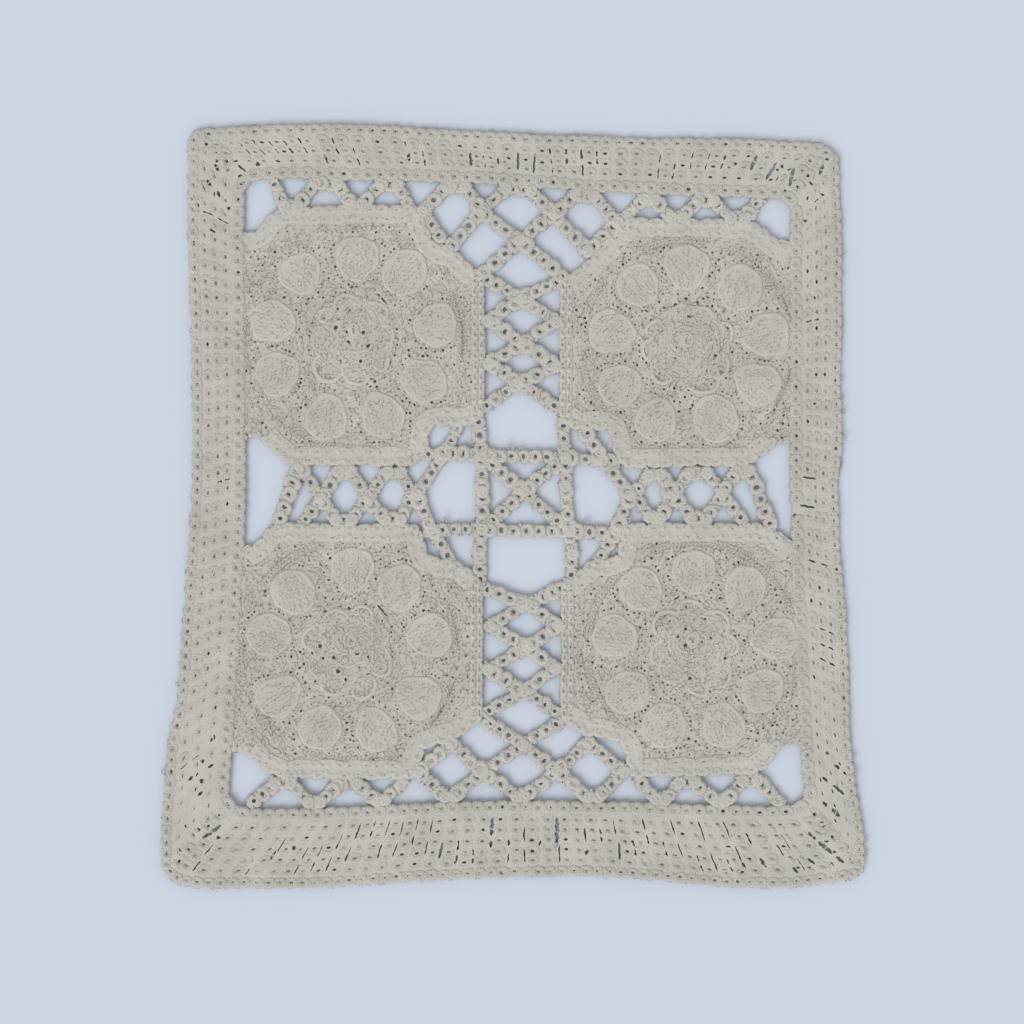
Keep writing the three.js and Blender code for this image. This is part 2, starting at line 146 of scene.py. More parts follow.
# Slits that gape in the band: from one end to the other, and how wide
SLITS = [  # x0, y0, x1, y1, width
    (8.8, -62.2, 8.7, -67.8, 0.85), (-4.0, -62.3, -4.3, -65.6, 0.8),
    (-4.4, -66.8, -4.5, -67.9, 0.6), (-14.0, -67.3, -14.6, -70.2, 0.5),
    (5.4, -66.9, 5.2, -67.7, 0.5), (14.9, -68.6, 14.5, -69.5, 0.7),
    (21.2, -67.0, 21.2, -70.6, 0.45), (-0.9, -66.6, -1.0, -67.6, 0.45),
    (-58.3, -63.7, -61.7, -66.2, 0.85), (-59.8, -51.7, -60.8, -52.2, 0.5),
    (-63.9, -54.1, -64.6, -54.7, 0.6), (-61.9, -57.1, -62.7, -57.7, 0.6),
    (-58.4, -66.1, -59.0, -66.2, 0.75), (-47.2, -68.6, -48.4, -70.6, 0.4),
    (59.0, -65.2, 60.2, -66.4, 0.7), (60.9, -67.0, 63.4, -69.2, 0.8),
    (64.4, -70.0, 65.8, -71.2, 0.6), (63.6, -60.4, 65.0, -61.8, 0.85),
    (61.8, -59.0, 62.4, -59.8, 0.7), (63.9, -55.8, 66.0, -57.6, 0.5),
    (61.8, -54.2, 62.6, -55.0, 0.55), (64.0, -51.6, 65.0, -52.4, 0.55),
    (49.4, -70.4, 50.6, -72.0, 0.6), (58.8, -70.4, 60.0, -71.4, 0.55),
    (55.8, -72.2, 56.8, -73.2, 0.5), (45.8, -71.2, 46.4, -72.2, 0.6),
    (48.6, 69.8, 47.3, 67.2, 0.75), (52.6, 68.4, 50.4, 65.2, 0.6), (56.0, 67.4, 55.1, 63.8, 0.75),
    (61.9, 68.2, 61.3, 66.2, 0.9), (59.2, 64.6, 59.8, 64.0, 0.5), (61.4, 62.4, 62.2, 62.0, 0.5),
    (-59.4, 68.0, -58.6, 66.9, 0.7), (-54.6, 67.8, -53.4, 66.6, 0.45),
    (-61.0, 65.0, -60.2, 64.0, 0.75), (-58.8, 62.8, -58.4, 61.8, 0.65),
    (-60.4, 55.4, -59.4, 54.6, 0.5), (-37.6, 70.2, -36.8, 68.4, 0.5),
    (-20.8, 70.2, -20.8, 68.8, 0.65), (-8.5, 70.4, -8.2, 67.9, 0.6), (-3.0, 69.4, -2.8, 68.4, 0.45),
    (0.8, 70.6, 0.9, 67.2, 0.45), (4.2, 70.4, 4.0, 66.6, 0.45), (7.2, 71.4, 7.3, 70.4, 0.45),
    (-53.0, -25.0, -53.9, -25.2, 0.3), (58.0, 5.7, 60.4, 5.5, 0.35), (57.3, 0.1, 60.0, -0.4, 0.4),
]
# Pinholes that are open right through, in the band
PINHOLES = [  # x, y, radius
    (3.8, -66.7, 0.36), (3.8, -68.9, 0.34), (-2.4, -73.3, 0.34), (18.0, -73.0, 0.36),
    (-62.0, -54.9, 0.42), (-65.0, -63.9, 0.42), (-62.6, -64.6, 0.36), (-66.4, -64.8, 0.34),
    (-43.7, -68.2, 0.42), (-52.2, -70.6, 0.32), (-62.0, -51.0, 0.36), (-60.2, -46.6, 0.34),
    (61.5, -62.8, 0.36), (44.0, -65.6, 0.36), (43.0, -69.0, 0.4), (50.3, -67.0, 0.42),
    (45.9, -73.2, 0.42), (66.2, -53.2, 0.34), (62.6, -49.2, 0.34), (42.5, -73.3, 0.3),
    (-54.2, 65.8, 0.42), (-50.8, 68.2, 0.4), (-63.0, 60.0, 0.4), (-64.2, 61.2, 0.32),
    (-65.0, 66.6, 0.36), (-56.6, 59.4, 0.32), (5.6, 68.6, 0.4), (-1.9, 68.6, 0.38),
    (44.2, 68.4, 0.34), (53.6, 67.8, 0.34), (62.6, 69.0, 0.36), (58.4, 57.0, 0.38),
    (54.2, 62.8, 0.3), (60.0, 41.4, 0.34), (60.2, 20.6, 0.34), (-58.0, 12.8, 0.34),
    (-60.3, -13.0, 0.34), (-58.2, -29.0, 0.36), (-62.2, -33.0, 0.3), (-58.9, -36.4, 0.34),
    (64.3, 11.5, 0.38), (56.1, -1.9, 0.38),
]

MEDALLIONS = {
    "medallion_top_left": {
        "eye": (-31.7, 35.1), "ring": (-32.0, 33.3), "radius": 16.3, "specks": 14,
        "gaps": [(-26.9, 42.3, -25.2, 40.4, 0.3), (-34.9, 39.3, 0.5), (-34.7, 37.1, 0.45),
                 (-38.2, 36.0, 0.45)],
        "top_outer": [(-54.0, 13.4), (-54.0, 54.3), (-51.0, 55.0), (-49.6, 57.8), (-46.6, 59.6)],
        "top_inner": [(-18.6, 60.0), (-17.2, 56.2), (-15.6, 52.4), (-11.2, 51.2), (-8.0, 48.0),
                      (-5.6, 46.0)],
        "bottom_inner": [(-5.6, 18.4), (-7.6, 16.0), (-16.5, 15.8), (-16.8, 11.2), (-19.0, 8.3)],
        "bottom_outer": [(-45.4, 8.2), (-50.6, 13.2)],
    },
    "medallion_top_right": {
        "eye": (34.9, 33.1), "ring": (34.8, 31.9), "radius": 15.5, "specks": 9,
        "gaps": [(32.5, 40.1, 0.7), (39.6, 31.9, 39.7, 31.2, 0.4)],
        "top_outer": [(56.0, 13.2), (56.0, 52.0), (52.6, 53.0), (50.6, 55.3), (47.8, 57.0)],
        "top_inner": [(21.8, 57.4), (20.8, 55.0), (15.0, 49.4), (9.3, 45.0)],
        "bottom_inner": [(9.3, 17.8), (11.4, 15.2), (19.4, 14.9), (19.8, 10.6), (21.6, 7.9)],
        "bottom_outer": [(47.4, 8.2), (50.4, 10.0), (53.2, 12.9)],
    },
    "medallion_bottom_left": {
        "eye": (-32.4, -26.8), "ring": (-32.8, -29.1), "radius": 16.2, "specks": 20,
        "gaps": [(-27.1, -19.7, -25.0, -22.1, 0.3), (-35.1, -23.0, 0.5),
                 (-35.9, -25.2, -35.1, -25.6, 0.4), (-38.9, -26.0, 0.4)],
        "top_outer": [(-57.0, -48.7), (-54.4, -9.0), (-50.4, -6.4), (-49.6, -4.3), (-47.4, -3.5)],
        "top_inner": [(-18.4, -3.8), (-16.8, -9.8), (-11.2, -10.5), (-8.4, -12.5), (-5.9, -15.2)],
        "bottom_inner": [(-6.1, -42.6), (-9.8, -45.8), (-13.4, -47.4), (-17.6, -48.4),
                         (-19.4, -54.4)],
        "bottom_outer": [(-47.2, -54.2), (-50.6, -52.4), (-54.0, -48.9)],
    },
    "medallion_bottom_right": {
        "eye": (35.8, -26.7), "ring": (36.1, -28.7), "radius": 15.8, "specks": 14,
        "gaps": [(33.2, -18.0, 32.0, -18.9, 0.2), (30.4, -20.6, 29.1, -22.1, 0.2),
                 (35.8, -18.9, 0.5)],
        "top_outer": [(58.4, -46.9), (56.6, -7.9), (54.0, -6.4), (52.4, -4.2), (50.2, -3.5)],
        "top_inner": [(21.8, -3.7), (20.6, -10.1), (15.2, -10.3), (13.8, -12.3), (9.7, -15.4)],
        "bottom_inner": [(9.5, -42.4), (14.0, -46.0), (18.4, -46.4), (21.8, -47.6), (23.0, -54.0)],
        "bottom_outer": [(48.8, -53.3), (50.8, -52.6), (54.0, -47.3)],
    },
}

BARS = {
    "bars_top_left": [
        [(-48.0, 64.9), (-45.6, 60.0), (-43.0, 59.9), (-39.4, 64.5), (-35.0, 64.4), (-32.4, 60.2),
         (-30.2, 60.2), (-26.2, 64.2), (-23.0, 64.1), (-20.7, 59.9)],
    ],
    "bars_top_middle": [
        [(-18.0, 58.9), (-13.2, 63.9), (-9.4, 63.6), (-6.2, 58.9), (1.4, 53.1), (10.2, 45.6)],
        [(-18.0, 58.9), (-12.9, 51.0), (-6.2, 58.9), (-1.4, 63.3), (3.6, 62.9), (8.2, 58.2),
         (14.9, 50.9), (20.9, 56.6), (16.2, 61.9), (12.4, 62.2), (8.2, 58.2), (1.4, 53.1),
         (-6.2, 46.2)],
    ],
    "bars_top_right": [
        [(22.6, 57.8), (26.3, 61.3), (28.3, 61.2), (31.5, 57.8), (33.9, 57.7), (37.0, 61.0),
         (40.0, 60.8), (43.3, 57.5), (46.2, 57.4), (48.8, 60.8)],
    ],
    "bars_column_top": [
        [(-5.8, 45.4), (1.6, 41.4), (8.8, 36.6), (1.6, 32.6), (-4.9, 28.3), (1.3, 24.7),
         (8.8, 19.6)],
        [(9.2, 44.9), (1.6, 41.4), (-4.9, 37.0), (1.6, 32.6), (8.6, 28.0), (1.3, 24.7),
         (-5.6, 19.8)],
    ],
    "bars_centre": [
        [(-6.9, 17.4), (-6.4, 10.2), (-6.0, 3.0), (-6.2, -4.7), (-6.8, -9.5), (-6.5, -15.0)],
        [(10.2, 16.8), (10.4, 9.7), (10.5, 4.0), (11.5, -5.0), (12.0, -9.5), (11.6, -14.4)],
        [(-17.4, 10.4), (-6.4, 10.2), (10.4, 9.7), (20.4, 9.2)],
        [(-17.0, -4.8), (-6.2, -4.7), (11.5, -5.0), (21.0, -5.4)],
        [(-6.4, 10.2), (2.2, 3.0), (11.5, -5.0)],
        [(-6.2, -4.7), (2.2, 3.0), (10.4, 9.7)],
        [(-10.6, 16.2), (-14.4, 9.4), (-19.2, 2.3), (-16.4, -4.5), (-12.8, -10.4)],
        [(14.6, 15.2), (17.8, 9.4), (23.4, 2.1), (20.7, -4.7), (17.2, -10.2)],
    ],
    "bars_arm_left": [
        [(-46.8, -3.0), (-42.7, 8.2), (-38.2, 1.6), (-35.3, -2.6), (-32.0, -2.6), (-28.8, 1.7),
         (-24.9, 6.8), (-22.3, 6.8), (-20.6, 3.4)],
        [(-41.7, -3.0), (-38.2, 1.6), (-34.6, 6.9), (-32.3, 6.9), (-28.8, 1.7), (-25.6, -2.6),
         (-22.5, -2.7), (-20.6, 1.2)],
    ],
    "bars_arm_right": [
        [(24.8, 3.2), (27.0, 6.3), (29.4, 6.4), (32.2, 2.4), (35.5, -2.4), (38.6, -2.5),
         (41.7, 2.6), (44.7, 7.0), (47.2, 7.1), (51.6, -4.0)],
        [(24.8, 1.2), (27.3, -2.2), (29.5, -2.4), (32.2, 2.4), (35.2, 6.5), (38.8, 6.6),
         (41.7, 2.6), (45.8, -2.8)],
    ],
    "bars_column_bottom": [
        [(-5.8, -16.4), (3.0, -19.5), (9.2, -23.9), (3.0, -28.1), (-4.9, -32.6), (2.2, -36.8),
         (8.9, -41.2)],
        [(10.2, -16.2), (3.0, -19.5), (-4.6, -24.1), (3.0, -28.1), (8.6, -32.4), (2.2, -36.8),
         (-5.4, -41.2)],
    ],
    "bars_bottom_left": [
        [(-52.2, -59.2), (-47.6, -55.4), (-44.3, -55.2), (-40.8, -59.0), (-38.4, -58.9),
         (-34.9, -55.4), (-31.2, -55.2), (-27.2, -58.7), (-25.6, -58.6), (-21.9, -55.0)],
    ],
    "bars_bottom_middle": [
        [(9.2, -43.2), (2.0, -47.6), (-6.0, -53.1), (-11.7, -57.9), (-13.5, -57.9), (-18.9, -53.0),
         (-12.2, -47.4), (-6.0, -53.1), (0.8, -57.8), (2.4, -57.8), (8.9, -52.8), (15.2, -47.2),
         (22.0, -52.9), (17.1, -57.9), (15.2, -57.9), (8.9, -52.8), (2.0, -47.6), (-5.0, -43.2)],
    ],
    "bars_bottom_right": [
        [(25.0, -54.8), (28.5, -58.4), (30.4, -58.5), (33.2, -55.1), (36.2, -54.9), (40.6, -58.9),
         (42.4, -58.9), (45.9, -54.7), (48.9, -54.6), (53.2, -59.0)],
    ],
}

# ---- lines


def turns(count):
    """Angles that part a full circle evenly."""
    return np.arange(count) * 2 * math.pi / count


def circle(turn):
    return np.stack([np.cos(turn), np.sin(turn)], -1)


def turned(xy, angle):
    """Points turned about the origin."""
    return xy[..., :1] * circle(angle) + xy[..., 1:] * circle(angle + math.pi / 2)


def noise(*size):
    return RNG.normal(size=size or None)


def columns(*values):
    """Each value as a column, so that every row can have points beside it."""
    return (np.reshape(value, (-1, 1)) for value in values)


def smooth_curve(rows, count):
    """A Catmull-Rom curve through the rows, sampled at even lengths."""
    p = np.array(rows, float)
    t = np.linspace(0, len(p) - 1, 40 * len(p))
    i = np.minimum(t.astype(int), len(p) - 2)
    u = (t - i)[:, None]
    a, b = p[np.maximum(i - 1, 0)], p[i]
    c, d = p[i + 1], p[np.minimum(i + 2, len(p) - 1)]
    v0, v1 = (c - a) / 2, (d - b) / 2
    q = (2 * b - 2 * c + v0 + v1) * u**3 + (-3 * b + 3 * c - 2 * v0 - v1) * u**2 + v0 * u + b
    return evenly(q, count)


def lengths(line):
    """How far along a line each of its points is."""
    return np.concatenate([[0], np.cumsum(np.linalg.norm(np.diff(line, axis=0), axis=1))])


def evenly(line, count):
    """The same line with points at even lengths."""
    at = lengths(line)
    return between(line, np.linspace(0, at[-1], count), at)


def between(rows, want, at):
    """Rows that lie between those given at some lengths or shares."""
    return np.stack([np.interp(want, at, rows[:, k]) for k in (0, 1)], -1)


class Line:
    """A plan line that yarn follows: place(s, t) is a point s along it and t to its left."""

    def __init__(self, points, closed=False, ease=0):
        p = np.array(points, float)
        if closed:
            p = np.vstack([p, p[:1]])
        p = evenly(p, max(int(lengths(p)[-1] / 0.5), 6))
        for _ in range(ease):
            inner = (p[:-2] + 2 * p[1:-1] + p[2:]) / 4
            end = (p[-2:-1] + 2 * p[:1] + p[1:2]) / 4
            p = np.vstack([end, inner, end] if closed else [p[0], inner, p[-1]])
        self.closed, self.points, self.at = closed, p, lengths(p)
        self.length = self.at[-1]
        along = np.gradient(p, axis=0)
        if closed:
            along[0] = along[-1] = p[1] - p[-2]
        along /= np.linalg.norm(along, axis=1, keepdims=True)
        self.left = np.stack([-along[:, 1], along[:, 0]], 1)

    def place(self, s, t):
        s = np.mod(s, self.length) if self.closed else s
        left = between(self.left, s, self.at)
        left /= np.linalg.norm(left, axis=-1, keepdims=True)
        over = np.where(s < 0, s, np.where(s > self.length, s - self.length, 0))
        along = np.stack([left[..., 1], -left[..., 0]], -1)
        base = between(self.points, s, self.at)
        return base + left * np.asarray(t)[..., None] + along * over[..., None]

    def offset(self, t, step):
        """The outline t to the left of a closed line."""
        return self.place(np.arange(0, self.length, step), t)


def signed_area(outline):
    x, y = outline[:, 0], outline[:, 1]
    return (x * np.roll(y, -1) - y * np.roll(x, -1)).sum() / 2


def anticlockwise(outline):
    return outline if signed_area(outline) > 0 else outline[::-1]


def inside(points, outline):
    """Which points an outline holds."""
    x, y = points[..., 0], points[..., 1]
    hit = np.zeros(x.shape, bool)
    for (xa, ya), (xb, yb) in zip(outline, np.roll(outline, -1, axis=0)):
        if ya != yb:
            hit ^= ((ya > y) != (yb > y)) & (x < (xb - xa) * (y - ya) / (yb - ya) + xa)
    return hit


# ---- the lie of the cloth, and its gaps: x0, y0, x1, y1 and width, round where the ends meet

WAVES = RNG.uniform(-1, 1, (3, 6, 2))
PHASES = RNG.uniform(0, 2 * math.pi, (3, 6))
BAND_GAPS = SLITS + [(x, y, x, y, 2 * r) for x, y, r in PINHOLES]


def swell(xy, k, wavelength):
    """Smooth unevenness over the plan, from -1 to 1."""
    return np.sin(xy @ (WAVES[k].T * (2 * math.pi / wavelength)) + PHASES[k]).mean(axis=-1)


def gap_distance(xy, gap):
    """How far spots are from the middle line of a gap."""
    a, d = np.array(gap[:2]), np.array([gap[2] - gap[0], gap[3] - gap[1]])
    f = np.clip((xy - a) @ d / max(float(d @ d), 1e-9), 0, 1)
    return np.linalg.norm(xy - a - f[..., None] * d, axis=-1)


def off_slits(xy, gaps):
    """Which spots keep clear of the gaping slits."""
    keep = np.ones(len(xy), bool)
    for gap in gaps:
        if gap[:2] != gap[2:4]:
            keep &= gap_distance(xy, gap) > OFF_SLIT
    return keep


def part_threads(xy, gaps):
    """Threads part round each gaping slit and pinhole, whose sides are ragged."""
    flat = xy.copy().reshape(-1, 2)
    for x0, y0, x1, y1, width in gaps:
        ends = np.array([(x0, y0), (x1, y1)])
        low, high = ends.min(axis=0) - PARTING["box"], ends.max(axis=0) + PARTING["box"]
        near = np.nonzero(((flat > low) & (flat < high)).all(axis=1))[0]
        if not len(near):
            continue
        p, a, d = flat[near], ends[0], ends[1] - ends[0]
        span = float(d @ d)
        is_slit = span > 1e-9
        f = np.clip((p - a) @ d / span, 0, 1) if is_slit else np.zeros(len(p))
        foot = a + f[:, None] * d
        off = p - foot
        dist = np.linalg.norm(off, axis=1)
        side = off / np.maximum(dist, 1e-6)[:, None]
        if is_slit:
            way = math.sqrt(span) * f + 3.0 * np.sign(off @ [-d[1], d[0]])
            ragged = 0.8 + 0.25 * np.sin(4.6 * way + 3 * x0) + 0.2 * np.sin(8.7 * way + 5 * y0)
            ragged *= 0.35 + 0.65 * np.sqrt(np.sin(math.pi * f))
        else:
            ragged = 1 + 0.18 * np.sin(3 * np.arctan2(off[:, 1], off[:, 0]) + 7 * x0)
        push = width / 2 * ragged + PARTING["yarn"]
        edge = push + PARTING["reach"]
        moved = np.where(dist < edge, push + dist * (edge - push) / edge, dist)
        flat[near] = foot + side * moved[:, None]
    return flat.reshape(xy.shape)


def lie(plan, high, gaps):
    """Points with the small unevenness that everything shares: threads parted at the gaps, wobble
    in plan, and a slight wave in height."""
    xy = part_threads(plan, gaps)
    wobble = np.stack([swell(xy, 0, 17.0), swell(xy, 1, 15.0)], -1)
    fine = np.stack([swell(xy, 2, 4.1), swell(xy[..., ::-1], 2, 4.7)], -1)
    z = high + UNEVEN["wave"] * (1 + swell(xy, 1, 34.0))
    xy = xy + UNEVEN["coarse"] * wobble + UNEVEN["fine"] * fine
    return np.concatenate([xy, z[..., None]], axis=-1)


def gap_outlines(gaps):
    """Holes in the ground cloth where it gapes, before the threads are parted."""
    outlines = []
    for x0, y0, x1, y1, _ in gaps:
        start, d = np.array([x0, y0]), np.array([x1 - x0, y1 - y0])
        span = np.linalg.norm(d)
        if not span:
            outlines.append(start + PRICK * circle(turns(8)))
            continue
        tip = d / span * PRICK
        out = np.array([-tip[1], tip[0]])
        side = start + np.linspace(0, 1, max(int(span / 0.3), 2) + 1)[:, None] * d
        outlines.append(np.vstack([side[0] - tip, side - out, side[-1] + tip, (side + out)[::-1]]))
    return outlines


def clear_of(holes, gaps, space):
    """Stitch holes that don't run into a gap or one another."""
    taken = np.vstack([np.zeros((0, 2)), *[gap.mean(axis=0) for gap in gaps], *gaps])
    kept = []
    for hole in holes:
        middle = hole.mean(axis=0)
        if np.linalg.norm(taken - middle, axis=1).min(initial=math.inf) > space:
            kept.append(hole)
            taken = np.vstack([taken, middle])
    return kept


# ---- meshes of yarn and of ground cloth


def placed(name, data):
    """A new object in the scene."""
    thing = bpy.data.objects.new(name, data)
    bpy.context.scene.collection.objects.link(thing)
    return thing


def build(name, verts, quads, tris, uv, material, smooth=True):
    """A visual piece that rides on the one body."""
    data = bpy.data.meshes.new(name)
    corners = np.concatenate([quads.ravel(), tris.ravel()]).astype(np.int32)
    sizes = np.repeat([4, 3], [len(quads), len(tris)]).astype(np.int32)
    data.vertices.add(len(verts))
    data.vertices.foreach_set("co", (verts * MM).astype(np.float32).ravel())
    data.loops.add(len(corners))
    data.loops.foreach_set("vertex_index", corners)
    data.polygons.add(len(sizes))
    data.polygons.foreach_set("loop_start", (np.cumsum(sizes) - sizes).astype(np.int32))
    data.polygons.foreach_set("loop_total", sizes)
    layer = data.uv_layers.new(name="yarn")
    layer.data.foreach_set("uv", uv.astype(np.float32).ravel())
    data.update(calc_edges=True)
    data.validate()
    data.polygons.foreach_set("use_smooth", np.full(len(data.polygons), smooth))
    data.materials.append(material)
    piece = placed(name, data)
    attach(piece, "root")
    return piece


class Yarn:
    """Gathers tubes of yarn and makes one mesh of them."""

    def __init__(self, gaps=()):
        self.gaps, self.verts, self.quads, self.tris = gaps, [], [], []
        self.quad_uv, self.tri_uv, self.count = [], [], 0

    def tubes(self, plan, high, radius, tall=1.0, closed=False, sides=5, rope=False):
        """The tubes' middle lines are in plan, (m, n, 2), or (n, 2) for a single one, and at the
        heights; radius is across, and tall how much higher. A rope shows its strands."""
        p = lie(plan, high, self.gaps)
        p = p[None] if p.ndim == 2 else p
        m, n, _ = p.shape
        r = np.broadcast_to(np.asarray(radius, float), (m, n))
        if closed:
            run = np.roll(p, -1, axis=1) - np.roll(p, 1, axis=1)
        else:
            run = np.gradient(p, axis=1)
        run /= np.linalg.norm(run, axis=2, keepdims=True)
        across = np.stack([run[..., 1], -run[..., 0], np.zeros((m, n))], -1)
        across /= np.linalg.norm(across, axis=2, keepdims=True)
        up = np.cross(across, run)
        steps = np.linalg.norm(np.diff(p, axis=1), axis=2)
        at = np.concatenate([np.zeros((m, 1)), np.cumsum(steps, axis=1)], axis=1)
        sides = ROPE["sides"] if rope else sides
        turn = math.pi / 2 + turns(sides)
        lobes = 1
        if rope:
            whole = at[:, -1:] + closed * np.linalg.norm(p[:, :1] - p[:, -1:], axis=2)
            count = np.maximum(np.round(whole / ROPE["lay"] * ROPE["strands"]), 1) / ROPE["strands"]
            twist = 2 * math.pi * count * at / whole + RNG.uniform(0, 6, (m, 1))
            lobes = 1 + ROPE["depth"] * np.cos(ROPE["strands"] * (turn - twist[..., None]))
        reach = (r[..., None] * lobes)[..., None]
        ring = (
            p[:, :, None]
            + across[:, :, None] * np.cos(turn)[:, None] * reach
            + up[:, :, None] * np.sin(turn)[:, None] * reach * np.reshape(tall, (-1, 1, 1, 1))
        )
        index = self.count + np.arange(m * n * sides).reshape(m, n, sides)
        self.verts.append(ring.reshape(-1, 3))
        self.count += m * n * sides
        at = at + RNG.uniform(0, 50, (m, 1))
        if closed:
            index = np.concatenate([index, index[:, :1]], axis=1)
            at = np.concatenate([at, at[:, -1:] + steps[:, :1]], axis=1)
        a, b = index[:, :-1], index[:, 1:]
        quads = np.stack([a, b, np.roll(b, -1, axis=2), np.roll(a, -1, axis=2)], -1)
        u0, u1, v = (np.broadcast_to(x, a.shape)
                     for x in (at[:, :-1, None], at[:, 1:, None], np.arange(sides) / sides))
        uv = np.stack([u0, v, u1, v, u1, v + 1 / sides, u0, v + 1 / sides], -1)
        self.quads.append(quads.reshape(-1, 4))
        self.quad_uv.append(uv.reshape(-1, 2))
        for end, way in () if closed else ((0, -1), (-1, 1)):
            # a blunt tip
            tips = self.count + np.arange(m)
            self.verts.append(p[:, end] + run[:, end] * (way * 0.7 * r[:, end, None]))
            self.count += m
            rim = index[:, end]
            pair = (rim, np.roll(rim, -1, axis=1))[::way]
            tri = np.stack([*pair, np.broadcast_to(tips[:, None], rim.shape)], -1)
            self.tris.append(tri.reshape(-1, 3))
            u = np.repeat(at[:, end], 3 * sides)
            self.tri_uv.append(np.column_stack([u, 0 * u]))

    def mesh(self, name, material, slot):
        verts = np.concatenate(self.verts)
        verts[:, 2] = np.maximum(verts[:, 2], FLOOR_LEVEL)  # yarn is pressed flat where it rests
        tris = np.concatenate([np.zeros((0, 3), int), *self.tris])
        uv = np.concatenate([*self.quad_uv, *self.tri_uv])
        return build(name, verts, np.concatenate(self.quads), tris, uv, material)


class Cloth:
    """Gathers the regions of the thin ground cloth and makes one mesh of them."""

    def __init__(self):
        self.verts, self.walls, self.tris, self.count, self.area = [], [], [], 0, 0.0

    def add(self, fills, holes, low, high, gaps=(), doubled=False):
        """A closed thin sheet over the filled outlines, less the holes. A doubled one lies on
        ground that is counted already."""
        points, faces = [], []
        holes = [hole for hole in holes if abs(signed_area(hole)) > CLOTH["least_hole"]]
        for outline in [*fills, *holes]:
            faces.append(list(range(len(points), len(points) + len(outline))))
            points += map(Vector, anticlockwise(outline).tolist())
        (x0, y0), (x1, y1) = np.vstack(fills).min(axis=0), np.vstack(fills).max(axis=0)
        points += [Vector((gx, gy)) for gx in np.arange(x0 + 0.7, x1, CLOTH["grid"])
                   for gy in np.arange(y0 + 0.9, y1, CLOTH["grid"])]
        verts, _, tris, _, _, origin = delaunay_2d_cdt(points, [], faces, 0, 1e-4)
        tris = np.array([t for t, o in zip(tris, origin) if o and max(o) < len(fills)])
        xy = np.array([tuple(v) for v in verts])
        a, b, c = (xy[tris[:, k]] for k in range(3))
        cross = (b - a)[:, 0] * (c - a)[:, 1] - (b - a)[:, 1] * (c - a)[:, 0]
        tris = np.where(cross[:, None] < 0, tris[:, ::-1], tris)
        self.area += 0.0 if doubled else np.abs(cross).sum() / 2
        used, tris = np.unique(tris, return_inverse=True)
        xy, tris, n = xy[used], tris.reshape(-1, 3), len(used)
        self.verts += [lie(xy, z, gaps) for z in (high, low)]
        edges = np.concatenate([tris[:, [0, 1]], tris[:, [1, 2]], tris[:, [2, 0]]])
        pairs = set(map(tuple, edges))
        rim = np.array([(i, j) for i, j in map(tuple, edges) if (j, i) not in pairs])
        walls = np.stack([rim[:, 0], rim[:, 0] + n, rim[:, 1] + n, rim[:, 1]], -1)
        self.walls.append(walls + self.count)
        self.tris.append(np.concatenate([tris, tris[:, ::-1] + n]) + self.count)
        self.count += 2 * n

    def mesh(self, name, material, slot):
        verts, walls, tris = map(np.concatenate, (self.verts, self.walls, self.tris))
        uv = verts[np.concatenate([walls.ravel(), tris.ravel()])][:, :2]
        return build(name, verts, walls, tris, uv, material, smooth=False)


ground = Cloth()

# ---- stitches


def ring_stitches(yarn, place, s_mid, t_mid, half_s, half_t, eye, kind, dip=0.0, slim=1.0):
    """Rings of yarn, one to a stitch, each with its head lapped over the foot of the next.
    place turns distances along and across the row into plan; the rest may be columns."""
    rope, uneven, count = kind["rope"], kind["uneven"], len(s_mid)
    turn = np.linspace(0, 2 * math.pi, 11 if rope else 10, endpoint=False)
    c, s = np.cos(turn), np.sin(turn)
    bend_s, bend_t = (np.sign(x) * np.abs(x) ** 0.82 for x in (c, s))  # a little square
    s_mid, t_mid, eye_s, eye_t, dip, slim = columns(s_mid, t_mid, *eye, dip, slim)
    half_s, half_t = (half * (1 + uneven * noise(count, 1)) for half in columns(half_s, half_t))
    head, side = (half_s - eye_s) / 2, (half_t - eye_t) / 2
    radius = (side * s**2 + head * c**2) * slim
    lean = (0.05 + uneven) * noise(count, 1)
    rough = 0.7 * uneven * SHAPE_RNG.normal(size=(2, count, len(c)))
    x, y = (half_s - head) * bend_s + rough[0], (half_t - side) * bend_t + rough[1]
    along = s_mid + x - lean * y + 1.2 * uneven * noise(count, 1)
    aside = t_mid + y + lean * x + uneven * noise(count, 1)
    high = kind["z"] - dip + kind["tilt"] * c + 0.03 * noise(count, 1) + 0.02 * noise(*x.shape)
    tall = np.minimum(1.12, 0.74 / np.maximum(radius.max(axis=1), 0.3))  # thick ones lie flatter
    yarn.tubes(place(along, aside), high, radius, tall, closed=True, rope=rope, sides=7)


def backs(yarn, place, s_mid, t_mid, reach_s, reach_t):
    """The strand at the back of each closed stitch, seen down its eye."""
    f = np.linspace(-1, 1, 3)
    s_mid, t_mid, reach_s, reach_t = columns(s_mid, t_mid, reach_s, reach_t)
    high = HEIGHT["back"] + RNG.uniform(-0.2, 0.2, (len(s_mid), 1))
    plan = place(s_mid + f * reach_s, t_mid + f * reach_t)
    yarn.tubes(plan, high, THREAD["back"], tall=0.7)


